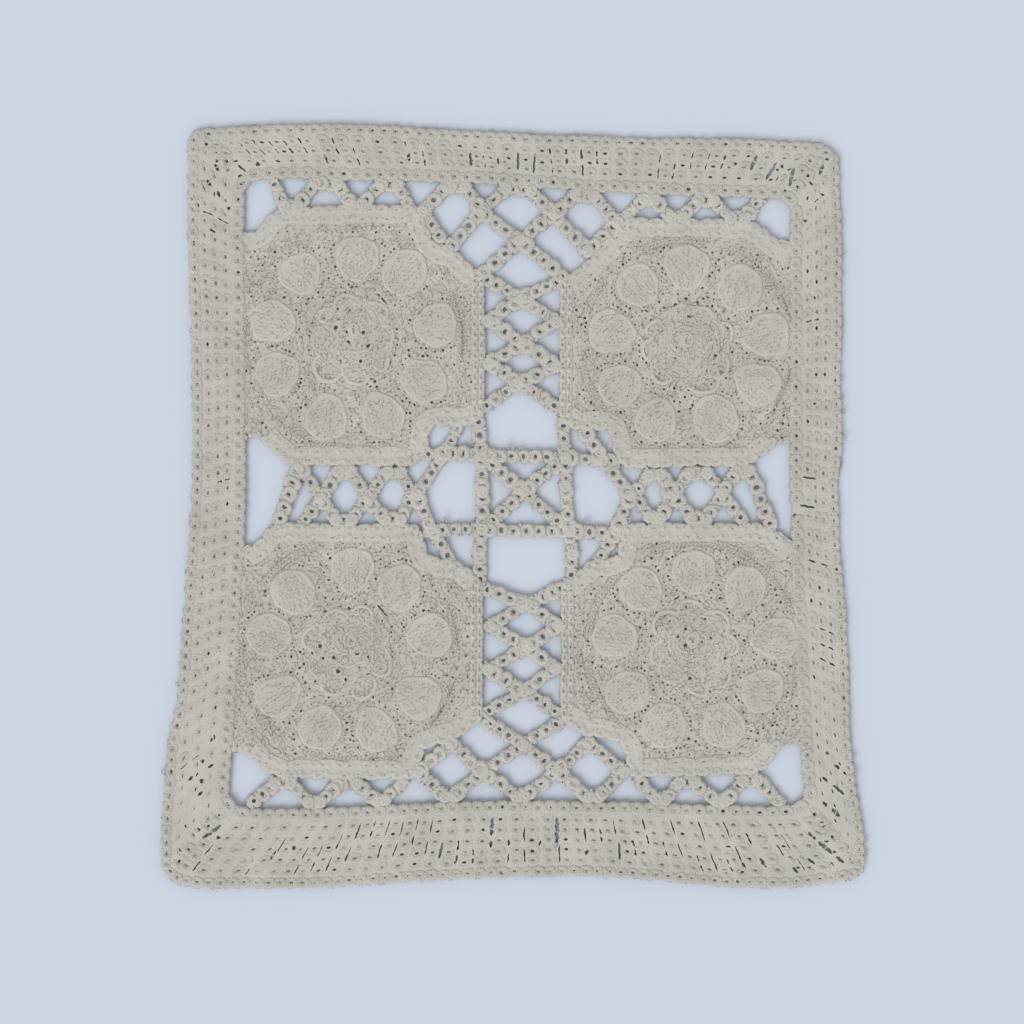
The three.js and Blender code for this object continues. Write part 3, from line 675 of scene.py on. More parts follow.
def row_of(yarn, line, t0, kind, inset=0.0, sink=(0.0, 0.0)):
    """A row of ring stitches along a line, t0 to its left. Returns the outlines of their eyes.
    sink is how far the first and last dip under what they run into."""
    count = max(int(round((line.length - 2 * inset) / kind["pitch"])), 1)
    step = (line.length - 2 * inset) / count
    mids = inset + step * (np.arange(count) + 0.5) + 0.05 * noise(count)
    is_open = RNG.random(count) < kind["open"]
    snug = np.where(is_open, RNG.uniform(0.75, 1.2, (2, count)), RNG.uniform(0.55, 1.0, count))
    use = off_slits(line.place(mids, t0), yarn.gaps)
    mids, is_open, snug = mids[use], is_open[use], snug[:, use]
    eye = kind["eye"][0] * snug[0], kind["eye"][1] * snug[1]
    dip = sink[0] * np.exp(-(mids - inset) / step)
    dip += sink[1] * np.exp(-(line.length - inset - mids) / step)
    ring_stitches(yarn, line.place, mids, t0, step / 2 + kind["lap"], kind["width"] / 2, eye, kind,
                  dip)
    shut = mids[~is_open]
    if len(shut) and kind["eye"][1] > 0.15:
        turn = RNG.uniform(-0.6, 0.6, len(shut))
        backs(yarn, line.place, shut, t0, 0.8 * np.sin(turn), 0.8 * np.cos(turn))
    turn = turns(6) + 0.3
    mids, eye_s, eye_t = columns(mids, *eye)
    return list(line.place(mids + 1.05 * eye_s * np.cos(turn), t0 + 1.05 * eye_t * np.sin(turn)))


def loose_loops(yarn, line, count, out):
    """Fine fibres and ends of thread that stand off an edge. out is the side that they lie on."""
    turn = np.linspace(-0.3, math.pi + 0.3, 6)
    s0 = RNG.uniform(0, line.length, (count, 1))
    wide, tall = RNG.uniform(0.15, 0.5, (count, 1)), RNG.uniform(0.1, 0.45, (count, 1))
    skew = RNG.uniform(-0.5, 0.5, (count, 1))
    s = s0 + wide * np.cos(turn) + skew * tall * np.sin(turn)
    high = HEIGHT["fibre"] + RNG.uniform(0, 0.5, (count, 1)) + 0.1 * np.sin(turn)
    plan = line.place(s, out * (tall * np.sin(turn) - 0.1))
    yarn.tubes(plan, high, THREAD["fibre"], sides=3)


def loose_thread(yarn, x, y, lean, size):
    """A loop of thread that stands off an edge."""
    turn = np.linspace(-2.3, 2.3, 12)
    loop = size * circle(turn) * [0.9, 0.7] + [0.09 * size, 0]
    high = HEIGHT["loose"] + 0.3 * np.cos(turn + 0.5)
    yarn.tubes([x, y] + turned(loop, math.radians(lean)), high, THREAD["loose"])


def scatter(low, high, along, across, jitter):
    """Spots on an uneven staggered grid."""
    gx, gy = np.meshgrid(np.arange(low[0], high[0], along), np.arange(low[1], high[1], across))
    gx[1::2] += along / 2
    spots = np.stack([gx, gy], -1).reshape(-1, 2)
    return spots + RNG.uniform(-jitter, jitter, spots.shape)


def short_stitches(yarn, spots, flow, z, radius=SHORT["radius"]):
    """Short single stitches at the spots, each lying along its own flow."""
    n = len(spots)
    g = np.linspace(-1, 1, 3)
    x = SHORT["length"] / 2 * RNG.uniform(0.7, 1.25, (n, 1)) * g
    y = 0.12 * noise(n, 1) * (1 - g**2)
    high = z + 0.05 * noise(n, 1) + 0.08 * (1 - g**2)
    yarn.tubes(spots[:, None] + turned(np.stack([x, y], -1), flow[:, None]), high,
               radius * RNG.uniform(0.85, 1.15, (n, 1)), sides=4)


# ---- materials


def cotton(name, light, dark, ply=0.5, woven=False):
    """Mercerised cotton: two tones of ivory in soft patches, twisted plies and short fibres."""
    material = bpy.data.materials.new(name)
    material.use_nodes = True
    nodes, links = material.node_tree.nodes, material.node_tree.links

    def fill(node, inputs):
        for socket, value in inputs.items():
            if isinstance(value, bpy.types.NodeSocket):
                links.new(value, node.inputs[socket])
            else:
                node.inputs[socket].default_value = value

    def add(kind, inputs, **settings):
        """A new node's outputs; each input is a value or another node's output."""
        node = nodes.new("ShaderNode" + kind)
        for key, value in settings.items():
            setattr(node, key, value)
        fill(node, inputs)
        return node.outputs

    def maths(operation, *values):
        return add("Math", dict(enumerate(values)), operation=operation)[0]

    place = add("TexCoord", {})["Object"]
    # patches a few stitches wide
    patches = add("TexNoise", {"Vector": place, "Scale": 130.0, "Detail": 3.0})["Fac"]
    spread = add("MapRange", {"Value": patches, "From Min": 0.35, "From Max": 0.65})["Result"]
    tone = add("Mix", {"Factor": spread, 6: (*dark, 1), 7: (*light, 1)}, data_type="RGBA")[2]
    # plies wound round each thread, from the length and turn kept in the yarn layer
    layer = add("UVMap", {}, uv_map="yarn")["UV"]
    along, around, _ = add("SeparateXYZ", {"Vector": layer})
    if woven:
        # small stitches at the back, across and along, in millimetres
        warp = maths("SINE", maths("MULTIPLY", along, 2 * math.pi / ply))
        weft = maths("SINE", maths("MULTIPLY", around, 2 * math.pi / (0.8 * ply)))
        height = maths("MULTIPLY", warp, weft)
    else:
        wound = maths("MULTIPLY_ADD", around, 2.0, maths("DIVIDE", along, ply))
        height = maths("SINE", maths("MULTIPLY", wound, 2 * math.pi))
    fibres = add("TexNoise", {"Vector": place, "Scale": 2600.0, "Detail": 2.0})["Fac"]
    plies = add("Bump", {"Height": height, "Strength": 0.5, "Distance": 0.00008})["Normal"]
    fuzz = add("Bump", {"Height": fibres, "Strength": 0.35, "Distance": 0.00012, "Normal": plies})
    # a little shade between the plies
    shade = add("MapRange", {"Value": height, "From Min": -1.0, "From Max": 0.2, "To Min": 0.86,
                             "To Max": 1.0})["Result"]
    shaded = add("VectorMath", {0: tone, "Scale": shade}, operation="SCALE")["Vector"]
    fill(nodes["Principled BSDF"], {
        "Base Color": shaded, "Normal": fuzz["Normal"], "Roughness": 0.86,
        "Specular IOR Level": 0.25, "Sheen Weight": 0.12, "Sheen Roughness": 0.5})
    return material


band_cotton = cotton("band_cotton", (0.588, 0.563, 0.513), (0.528, 0.508, 0.458))
bar_cotton = cotton("bar_cotton", (0.620, 0.600, 0.550), (0.560, 0.545, 0.500))
medallion_cotton = cotton("medallion_cotton", (0.640, 0.615, 0.565), (0.580, 0.560, 0.510), ply=0.4)
net_cotton = cotton("net_cotton", (0.630, 0.605, 0.555), (0.570, 0.550, 0.500), ply=0.35)
ground_cotton = cotton("ground_cotton", (0.610, 0.585, 0.535), (0.550, 0.530, 0.480), ply=0.6,
                       woven=True)

# ---- border band


def side_rows(sides, ends):
    """The four sides of one edge of the band, anticlockwise from the top left corner, each from
    one corner's middle to the next one's."""
    rows = {
        "left": [(left, y) for y, left, _ in sides if left is not None][::-1],
        "bottom": [(x, bottom) for x, bottom, _ in ends if bottom is not None],
        "right": [(right, y) for y, _, right in sides if right is not None],
        "top": [(x, top) for x, _, top in ends if top is not None][::-1],
    }
    curves = [smooth_curve(side, 240) for side in rows.values()]
    whole = {}
    for i, name in enumerate(rows):
        before, curve, after = curves[i - 1], curves[i], curves[(i + 1) % 4]
        first, last = (before[-1] + curve[0]) / 2, (curve[-1] + after[0]) / 2
        whole[name] = evenly(np.vstack([first, curve, last]), len(curve))
    return whole


outer = side_rows(OUTER_SIDES, OUTER_ENDS)
inner = side_rows(INNER_SIDES, INNER_ENDS)
outer_line = Line(np.vstack([side[:-1] for side in outer.values()]), closed=True, ease=3)
inner_line = Line(np.vstack([side[:-1] for side in inner.values()]), closed=True, ease=2)


def band_place(side, f, q):
    """A point in the pillars' part of one side: f along it and q from its inner to outer row."""
    share = np.linspace(0, 1, len(inner[side]))
    f = np.clip(f, 0, 1)
    long, short = lengths(outer[side])[-1], lengths(inner[side])[-1]
    off = 2 * f - 1
    fanned = np.sign(off) * np.abs(off) ** FAN[side] * (long - short)
    a = between(inner[side], 0.5 + (off * long - fanned) / (2 * short), share)
    b = between(outer[side], f, share)
    wide = np.abs((b - a)[..., 0 if side in ("left", "right") else 1])
    v = (INNER_ROW["width"] + (wide - INNER_ROW["width"] - EDGING["width"]) * q) / wide
    return a + (b - a) * v[..., None]


def pillar_edges(side, count):
    """Where the pillars part, as shares along one side; an edge goes to each gaping slit."""
    edges = np.linspace(0, 1, count + 1)
    edges[1:-1] += noise(count - 1) * 0.06 / count
    held = np.zeros(count + 1, bool)
    held[[0, -1]] = True
    f, q = np.meshgrid(np.linspace(0, 1, 8 * count), np.linspace(0, 1, 7))
    spots = band_place(side, f, q)
    for x0, y0, x1, y1, _ in SLITS:
        away = np.linalg.norm(spots - [(x0 + x1) / 2, (y0 + y1) / 2], axis=-1)
        want = f.flat[away.argmin()]
        near = np.abs(edges - want).argmin()
        if away.min() < 1.0 and not held[near] and abs(edges[near] - want) < 0.5 / count:
            edges[near], held[near] = want, True
    for _ in range(12):
        even = (edges[:-2] + edges[2:]) / 2
        edges[1:-1] = np.where(held[1:-1], edges[1:-1], (edges[1:-1] + 2 * even) / 3)
    return edges


def side_slits(side, edges, rows, length):
    """Slits between pillars: how wide each is beside each row, and the outlines of the open
    ones. There is a thin line between most pillars, wider over two or more rows here and there."""
    count = len(edges) - 1
    slit = np.tile(RNG.uniform(0.0, 0.06, count + 1), (rows, 1))
    outlines = []
    for i in np.nonzero(RNG.random(count + 1) < SLIT_SHARE[side])[0]:
        if not 0 < i < count:
            continue
        first = RNG.integers(0, rows - 1)
        last = min(first + RNG.integers(2, rows + 1), rows)
        slit[first:last, i] += RNG.uniform(0.09, 0.24)
        q0, q1 = (first + RNG.uniform(0.1, 0.4)) / rows, (last - RNG.uniform(0.1, 0.4)) / rows
        # it shows in two ragged pieces
        for start, stop in ((q0, 0.55 * q0 + 0.45 * q1), (0.4 * q0 + 0.6 * q1, q1)):
            q = np.linspace(start, stop, 6)
            half = RNG.uniform(0.3, 1.0, 6) * (slit[first, i] + 0.04) / length
            half[[0, -1]] = 0
            f = edges[i] + noise(6) * 0.05 / length
            there, back = np.append(f - half, (f + half)[4:0:-1]), np.append(q, q[4:0:-1])
            outlines.append(anticlockwise(band_place(side, there, back)))
    return slit, outlines


def pillars(yarn, side, rows):
    """Ring stitches set in pillars across the band, with slits between the pillars."""
    length = (lengths(inner[side])[-1] + lengths(outer[side])[-1]) / 2
    count = int(round(length / PILLAR["pitch"]))
    edges = pillar_edges(side, count)
    centre, span = (edges[:-1] + edges[1:]) / 2, np.diff(edges)
    slit, slots = side_slits(side, edges, rows, length)
    holes = []
    for row in range(rows):
        q = np.full(count, (row + 0.5) / rows)
        run = band_place(side, edges[1:], q) - band_place(side, edges[:-1], q)
        up = band_place(side, centre, q + 0.5 / rows) - band_place(side, centre, q - 0.5 / rows)
        wide, tall = np.linalg.norm(run, axis=1), np.linalg.norm(up, axis=1)
        shift = (slit[row, :-1] - slit[row, 1:]) / 2
        half = (wide - slit[row, :-1] - slit[row, 1:]) / 2 + 0.03
        column, level = columns(span / wide, 1 / rows / tall)
        slim = np.abs(run[:, 0] * up[:, 1] - run[:, 1] * up[:, 0]) / (wide * tall)

        def local(which):
            """Turns distances up and across the chosen stitches into plan."""
            return lambda s, t: band_place(side, centre[which, None] + t * column[which],
                                           q[which, None] + s * level[which])

        is_open = RNG.random(count) < PILLAR["open"]
        snug = np.where(is_open, 1.3, RNG.uniform(0.6, 1.1, count))
        use = off_slits(band_place(side, centre, q), yarn.gaps)
        half_s, half_t = (np.minimum(x, PILLAR["largest"])[use]
                          for x in (tall / 2 + PILLAR["lap"], half))
        eye = PILLAR["eye"][0] * snug[use], PILLAR["eye"][1] * np.minimum(snug, 1)[use]
        ring_stitches(yarn, local(use), np.zeros(use.sum()), shift[use], half_s, half_t, eye,
                      PILLAR, slim=slim[use])
        # the strands that hold the stitches of a pillar together, at the foot of each row
        g = np.linspace(0.1, 0.9, 4)
        foot = band_place(side, edges[:-1, None] + span[:, None] * g,
                          row / rows + 0.02 / rows * noise(count, 4))
        high = PILLAR["z"] + 0.05 * noise(count, 1) - 0.06 * np.cos(2 * math.pi * g)
        keep = off_slits(foot.mean(axis=1), yarn.gaps)
        yarn.tubes(foot[keep], high[keep], THREAD["foot"], tall=1.15)
        around = PILLAR["hole"] * circle(turns(6) + 0.2)
        holes += list(local(slice(None))(around[:, 0], shift[:, None] + around[:, 1]))
        shut = np.nonzero(~is_open & use)[0]
        backs(yarn, local(shut), np.zeros(len(shut)), shift[shut], 0.0, 0.7)
    return holes, slots


rows_yarn = Yarn(BAND_GAPS)
holes = row_of(rows_yarn, outer_line, EDGING["width"] / 2, EDGING)
holes += row_of(rows_yarn, inner_line, -INNER_ROW["width"] / 2, INNER_ROW)
loose_loops(rows_yarn, outer_line, FIBRES["outer"], -1)
loose_loops(rows_yarn, inner_line, FIBRES["inner"], 1)
for row in LOOSE:
    loose_thread(rows_yarn, *row)
for side in inner:
    # stitches that turn each corner, from the inner row to the outer one
    a, b = inner[side][0], outer[side][0]
    along = (b - a) / np.linalg.norm(b - a)
    line = Line([a + CORNER_ENDS[0] * along, b - CORNER_ENDS[1] * along])
    holes += row_of(rows_yarn, line, 0.0, CORNER)
rows_yarn.gaps = ()
for x0, y0, x1, y1, width in SLITS:
    start, run = np.array([x0, y0]), np.array([x1 - x0, y1 - y0])
    if width >= CROSSED_SLIT["width"] and math.hypot(*run) > CROSSED_SLIT["length"]:
        # a thread left across the slit
        f = RNG.uniform(0.35, 0.65)
        along = run / math.hypot(*run)
        t = np.linspace(-1.1, 1.1, 5)
        lean = along * RNG.uniform(-0.5, 0.5) + [-along[1], along[0]]
        rows_yarn.tubes(start + f * run + t[:, None] * lean,
                        HEIGHT["over_slit"] + 0.1 * np.cos(2 * t), THREAD["loose"])
dressing = [rows_yarn.mesh("border_rows", band_cotton, "band_thread")]
slots = []
for pair in (("left", "bottom"), ("right", "top")):
    pillar_yarn = Yarn(BAND_GAPS)
    for side in pair:
        eyes, open_slits = pillars(pillar_yarn, side, ROWS[side])
        holes += eyes
        slots += open_slits
    name = "border_pillars_" + "_".join(pair)
    dressing.append(pillar_yarn.mesh(name, band_cotton, "band_thread"))

gaps = gap_outlines(BAND_GAPS)
gaps += clear_of(slots, gaps, CLEAR["slit"])
holes = clear_of(holes, gaps, CLEAR["band"])
hem = outer_line.offset(HEM["outer"], HEM["step"])
inner_hem = inner_line.offset(-HEM["inner"], HEM["step"])
ground.add([hem], [inner_hem, *gaps, *holes], CLOTH["low"], CLOTH["band"], BAND_GAPS)

# ---- bars


def knot(yarn, at, turn):
    """Stitches gathered over a crossing: a closed ring and two strands across it."""
    around = turns(10) + turn
    wide = 0.85 * (1 + 0.08 * np.sin(3 * around))[:, None]
    high = HEIGHT["knot"] + 0.06 * np.sin(2 * around)
    yarn.tubes(at + wide * circle(around), high, THREAD["knot"], closed=True, rope=True)
    f = np.linspace(-1, 1, 5)[:, None]
    for lean, high in zip((turn, turn + 1.8), HEIGHT["over_knot"]):
        plan = at + 1.5 * f * circle(lean) + 0.15 * f**2 * [-1, 1]
        yarn.tubes(plan, high - 0.3 * f[:, 0] ** 2, THREAD["over_knot"], sides=6)


def bar_details(yarn, line, count, half, z, crossed):
    """Small bumps between a bar's ring stitches, set back from its edges, and on crossed bars the
    threads that pass from one stitch to the next."""
    step = line.length / count
    ends = (step * np.arange(count + 1))[:, None]
    if crossed:
        f = np.linspace(-1, 1, 5)
        lean = RNG.choice([-1, 1], ends.shape) * RNG.uniform(0.12, 0.3, ends.shape)
        s = ends + lean * f * step * 0.9 + 0.04 * noise(*ends.shape)
        high = z + 0.5 - 0.22 * f**2 + 0.03 * noise(*ends.shape)
        yarn.tubes(line.place(s, f * half * 0.72), high, THREAD["strand"])
    f = np.linspace(-0.4, 0.4, 3)
    for out in (-1, 1):
        s = ends + f + 0.15 * noise(*ends.shape)
        t = out * (half * 0.63 + 0.12 * noise(*ends.shape) - 0.5 * f**2)
        high = z + 0.05 * noise(*ends.shape)
        yarn.tubes(line.place(s, t), high, THREAD["bump"], tall=1.1)


def bars(name, paths):
    yarn, fills, holes, layer = Yarn(), [], [], 0
    for path in paths:
        points = np.array(path)
        for i, (a, b) in enumerate(zip(points[:-1], points[1:])):
            first, last = i == 0, i == len(points) - 2
            along = (b - a) / np.linalg.norm(b - a) * END_LAP
            a, b = a - along * first, b + along * last
            line = Line([a, b])
            layer += 1
            kind = {**BAR, "width": BAR["width"] * RNG.uniform(0.92, 1.04),
                    "z": BAR["z"] + LAYER_RISE * (layer % 2)}
            eyes = row_of(yarn, line, 0.0, kind, sink=(END_LAP * first, END_LAP * last))
            bar_details(yarn, line, len(eyes), kind["width"] / 2, kind["z"], layer % 2 == 0)
            holes += eyes
            for out in (-1, 1):
                edge = line.place(np.array([0.5, line.length - 0.5]), out * BAR["width"] * 0.46)
                loose_loops(yarn, Line(edge), 1, out)
            beside = line.left[0] * (BAR["width"] - BAR_EDGE) / 2
            fills.append(np.array([a - beside, b - beside, b + beside, a + beside]))
    ends = {point for path in paths for point in (path[0], path[-1])}
    knots = []
    for point, uses in Counter(point for path in paths for point in path).items():
        fills.append(point + BAR_EDGE * circle(turns(10)))
        if uses > 1 or point not in ends:
            knot(yarn, point, RNG.uniform(0, math.pi))
            knots.append(point)
    holes = [hole for hole in holes
             if np.linalg.norm(knots - hole.mean(axis=0), axis=1).min() > CLEAR["knot"]]
    ground.add(fills, holes, CLOTH["low"], CLOTH["bars"])
    return yarn.mesh(name + "_stitches", bar_cotton, "bar_thread")


dressing += [bars(name, paths) for name, paths in BARS.items()]

# ---- medallions


def scallops(a, b):
    """Points of a scalloped edge between a and b, standing out to its left."""
    (x0, y0), (x1, y1) = a, b
    normal = np.array([y0 - y1, x1 - x0]) / math.hypot(y0 - y1, x1 - x0)
    count = SCALLOPS["count"] * 6
    t = np.arange(1, count) / count
    rise = SCALLOPS["rise"] * np.abs(np.sin(math.pi * SCALLOPS["count"] * t))
    return [(x0 + (x1 - x0) * u + normal[0] * r, y0 + (y1 - y0) * u + normal[1] * r)
            for u, r in zip(t, rise)]


def strips(line, t0, t1):
    """The ground between two offsets of a line, the far one waved, in convex pieces."""
    s = np.arange(0.5, line.length - 0.4)
    wave = SCALLOPS["depth"] * np.sign(t1) * (np.abs(np.sin(math.pi * s / SCALLOPS["wave"])) - 0.6)
    a, b = line.place(s, t0), line.place(s, t1 + wave)
    pieces = []
    for piece in np.stack([a[:-1], a[1:], b[1:], b[:-1]], axis=1):
        piece = anticlockwise(piece)
        run = np.roll(piece, -1, axis=0) - piece
        after = np.roll(run, -1, axis=0)
        if (run[:, 0] * after[:, 1] - run[:, 1] * after[:, 0]).min() > 0.05:
            pieces.append(piece)
    return pieces


class Oval:
    """One oval of a medallion: egg shaped, a little uneven, with its narrow end to the rose."""

    def __init__(self, ring, radius, i):
        self.ring = ring
        self.angle = math.pi / 2 + 2 * math.pi * i / OVAL["count"] + 0.03 * noise()
        self.far = radius + 0.2 * noise()
        self.half = np.array([OVAL["long"], OVAL["wide"]]) / 2 * (1 + 0.035 * noise(2))
        self.turn = turns(OVAL["spots"])
        waves = np.array([[2], [3], [5]]) * self.turn + RNG.uniform(0, 2 * math.pi, (3, 1))
        self.uneven = 1 + (0.02 * noise(3, 1) * np.cos(waves)).sum(axis=0)
        self.thin = OVAL["narrowing"] + 0.09 * noise()

    def at(self, xy):
        """Plan of points given outwards from the oval's middle, and across."""
        return self.ring + turned(xy + [self.far, 0], self.angle)

    def outline(self, inset=0.0):
        xy = circle(self.turn) * (self.half * self.uneven[:, None] - inset)
        xy[:, 1] *= 1 + self.thin * np.cos(self.turn)
        return self.at(xy)

    def dress(self, yarn, hem):
        """A cord round the oval, and short stitches in ribs that run towards the rose."""
        s = np.linspace(0, hem.length, max(int(hem.length / 0.5), 4), endpoint=False)
        wave = 0.1 * np.sin(2 * math.pi * s / 3.7 + RNG.uniform(0, 6))
        high = HEIGHT["cord"] + 0.05 * np.sin(2 * math.pi * s / 2.9 + RNG.uniform(0, 6))
        yarn.tubes(hem.place(s, wave), high, OVAL["cord"], tall=0.85, closed=True, rope=True)
        half = self.half - 1.7 * OVAL["cord"]
        spots = scatter(-half, half, SHORT["along"], SHORT["across"] * 0.92, 0.14)
        spots = spots[((spots / half) ** 2).sum(axis=1) < 1]
        spots[:, 1] *= 1 + self.thin * spots[:, 0] / half[0]
        lean = RNG.uniform(-0.3, 0.3) + 0.04 * spots[:, 1] * noise() + 0.32 * noise(len(spots))
        flow = self.angle + lean
        short_stitches(yarn, self.at(spots), flow, HEIGHT["oval"], THREAD["bold"])


def petals(yarn, centre, turn):
    """Petals like small shells: an arched cord with six ribs that fan out inside it."""
    for i in range(ROSE["petals"]):
        angle = turn + 2 * math.pi * (i + 0.10 * noise()) / ROSE["petals"]
        large = ROSE["petal"] * (1 + 0.13 * noise())
        out = circle(angle)
        side = np.array([-out[1], out[0]])
        middle = centre + (ROSE["ring"] + 0.45 * noise()) * out
        f = np.linspace(-1.9, 1.9, 13)
        skewed = f + 0.25 * noise() * np.cos(f)
        arch = middle + large * (np.cos(f)[:, None] * out + np.sin(skewed)[:, None] * side)
        high = HEIGHT["petal"] + 0.06 * np.cos(f / 2) + 0.04 * noise(len(f))
        yarn.tubes(arch, high, RNG.uniform(*THREAD["petal"]), tall=0.7, rope=True)
        for lean in np.linspace(-1.25, 1.25, 6) + 0.08 * noise(6):
            g = np.linspace(RNG.uniform(0, 0.3), 1, 4)
            foot = middle - 0.9 * large * out
            tip = middle + (large - 0.5) * (math.cos(lean) * out + math.sin(lean) * side)
            high = HEIGHT["petal"] - 0.06 + 0.08 * np.sin(math.pi * g)
            radius = THREAD["rib"] + 0.13 * g
            yarn.tubes(foot + g[:, None] * (tip - foot), high, radius, sides=4)


class Medallion:
    """One medallion. Its methods make its pieces of yarn and gather the beds, the doubled cloth
    under the rim, ovals and rose: their outlines, level and holes."""

    def __init__(self, name, sizes):
        self.name, self.beds, self.radius = name, [], sizes["radius"]
        self.ring, self.eye = np.array(sizes["ring"]), np.array(sizes["eye"])
        self.inward = -1 if self.ring[0] < 0 else 1
        self.gaps = [gap if len(gap) == 5 else (*gap[:2], *gap) for gap in sizes["gaps"]]
        self.add_specks(sizes["specks"])
        first, *top = sizes["top_outer"]
        top += [*self.scalloped(top[-1], sizes["top_inner"][0]), *sizes["top_inner"]]
        foot, outer_foot = sizes["bottom_inner"], sizes["bottom_outer"]
        foot = [*foot, *self.scalloped(foot[-1], outer_foot[0]), *outer_foot]
        self.top, self.foot = Line(top, ease=6), Line(foot, ease=6)
        self.column = Line([top[-1], foot[0]], ease=3)
        self.outline = anticlockwise(np.array([first, *top, *foot]))

    def scalloped(self, a, b):
        return scallops(a, b) if self.inward < 0 else scallops(b, a)[::-1]

    def add_specks(self, count):
        """Small round eyes, open here and there among the rose's stitches."""
        for _ in range(count):
            clear = 0
            while clear < 1.3:
                share = math.sqrt(SPECK_RNG.uniform(0.03, 1.3))
                spot = self.eye + (self.ring - self.eye) * min(share, 1)
                spot = spot + ROSE["ring"] * share * circle(SPECK_RNG.uniform(0, 2 * math.pi))
                clear = min(gap_distance(spot, gap) for gap in self.gaps)
            self.gaps.append((*spot, *spot, SPECK_RNG.uniform(0.45, 0.85)))

    def piece(self, yarn, part, material=medallion_cotton):
        dressing.append(yarn.mesh(f"{self.name}_{part}", material, "medallion_thread"))

    def dress_rim(self):
        """Two rows of stitches along the top and bottom, two chains down the column's side."""
        yarn, inward = Yarn(), self.inward
        for edge in (self.top, self.foot):
            eyes = row_of(yarn, edge, inward * RIM["rows"][0], RIM_EDGE)
            eyes += row_of(yarn, edge, inward * RIM["rows"][1], RIM_ROW, RIM["inset"])
            bed = strips(edge, *(inward * t for t in RIM["bed"]))
            self.beds.append((bed, "rim", clear_of(eyes, [], CLEAR["rim"])))
        for offset in RIM["chains"]:
            row_of(yarn, self.column, inward * offset, RIM_CHAIN)
        loose_loops(yarn, self.column, FIBRES["column"], -inward)
        self.piece(yarn, "rim")

    def dress_ovals(self):
        yarn = Yarn(self.gaps)
        self.ovals = [Oval(self.ring, self.radius, i) for i in range(OVAL["count"])]
        for oval in self.ovals:
            hem = oval.outline(OVAL["cord"])
            self.beds.append(([hem], "oval", []))
            oval.dress(yarn, Line(hem, closed=True))
        self.piece(yarn, "ovals")

    def dress_rose(self):
        """A coil at the eye, a bud round it, and petals round that, over rounds of stitches."""
        yarn, eye, turn = Yarn(self.gaps), self.eye, RNG.uniform(0, 6)
        for far in np.arange(0.9, ROSE["ring"] + 2.2, 0.66):
            count = int(2 * math.pi * far / 0.95)
            around = (np.arange(count) + RNG.uniform(0, 1)) * 2 * math.pi / count
            middle = eye + (self.ring - eye) * min(far / ROSE["ring"], 1)
            spots = middle + far * circle(around)
            spots += RNG.uniform(-0.15, 0.15, spots.shape)
            flow = around + math.pi / 2 + 0.45 * noise(count)
            short_stitches(yarn, spots, flow, HEIGHT["rose"], THREAD["bold"])
        petals(yarn, self.ring, turn)
        # the bud's arcs lap over one another
        for far in np.arange(1.7, ROSE["swirl"], 0.62):
            start, span = RNG.uniform(0, 6.3), RNG.uniform(1.6, 3.2)
            f = start + np.linspace(0, span, int(5 + 2.2 * span * far / 1.6))
            off = far + 0.3 * np.cos(f - start - span / 2) + 0.09 * noise(len(f))
            plan = eye + 0.8 * circle(start + 1) + off[:, None] * circle(f)
            high = HEIGHT["bud"] - 0.04 * far + 0.05 * noise(len(f))
            yarn.tubes(plan, high, RNG.uniform(*THREAD["bud"]), rope=True)
        f = np.linspace(0, 1, 26)
        coil = turn + 3.4 * math.pi * f
        far = 0.62 + 0.85 * f + 0.06 * np.sin(5 * coil)
        plan = eye + far[:, None] * [0.85, 1.15] * circle(coil)
        yarn.tubes(plan, HEIGHT["coil"] - 0.1 * f, THREAD["bold"], rope=True)
        self.piece(yarn, "rose")

    def edge(self, at_band, elsewhere):
        """The outline set in by these two distances. Beside the band the ground runs up to its
        inner row."""
        border = Line(self.outline, closed=True)
        at = np.arange(0, border.length, 0.9)
        meets = np.abs(border.place(at, 0.0)[:, 0]) > MEETS_BAND
        return border.place(at, np.where(meets, at_band, elsewhere))

    def open_ground(self, xy):
        """Which spots are on the net: inside the rim, and off the ovals, the rose and the gaps."""
        use = inside(xy, self.edge(0.1, 1.0))
        use &= np.linalg.norm(xy - self.ring, axis=-1) > ROSE["ring"] + ROSE["edge"]
        for oval in self.ovals:
            use &= ~inside(xy, oval.outline(0.3))
        for gap in self.gaps:
            use &= gap_distance(xy, gap) > gap[4] / 2 + 0.15
        return use

    def place_eyelets(self, box):
        """Eyelets here and there, and in strings round the ovals and the rose."""
        spread = scatter(*box, NET["eyelets"], 0.866 * NET["eyelets"], 0.4)
        spread = spread[RNG.random(len(spread)) < 0.5]
        strings = [oval.outline(-NET["string"])[RNG.random(OVAL["spots"]) < 0.55]
                   for oval in self.ovals]
        around = np.arange(0, 2 * math.pi, 0.11)
        around = around[RNG.random(len(around)) < 0.5]
        strings = np.vstack([*strings, self.ring + (ROSE["ring"] + 2.3) * circle(around)])
        eyelets = np.vstack([strings + RNG.uniform(-0.15, 0.15, strings.shape), spread])
        apart = np.zeros((0, 2))
        for spot in eyelets[self.open_ground(eyelets)]:
            if np.linalg.norm(apart - spot, axis=1).min(initial=math.inf) > NET["apart"]:
                apart = np.vstack([apart, spot])
        return apart

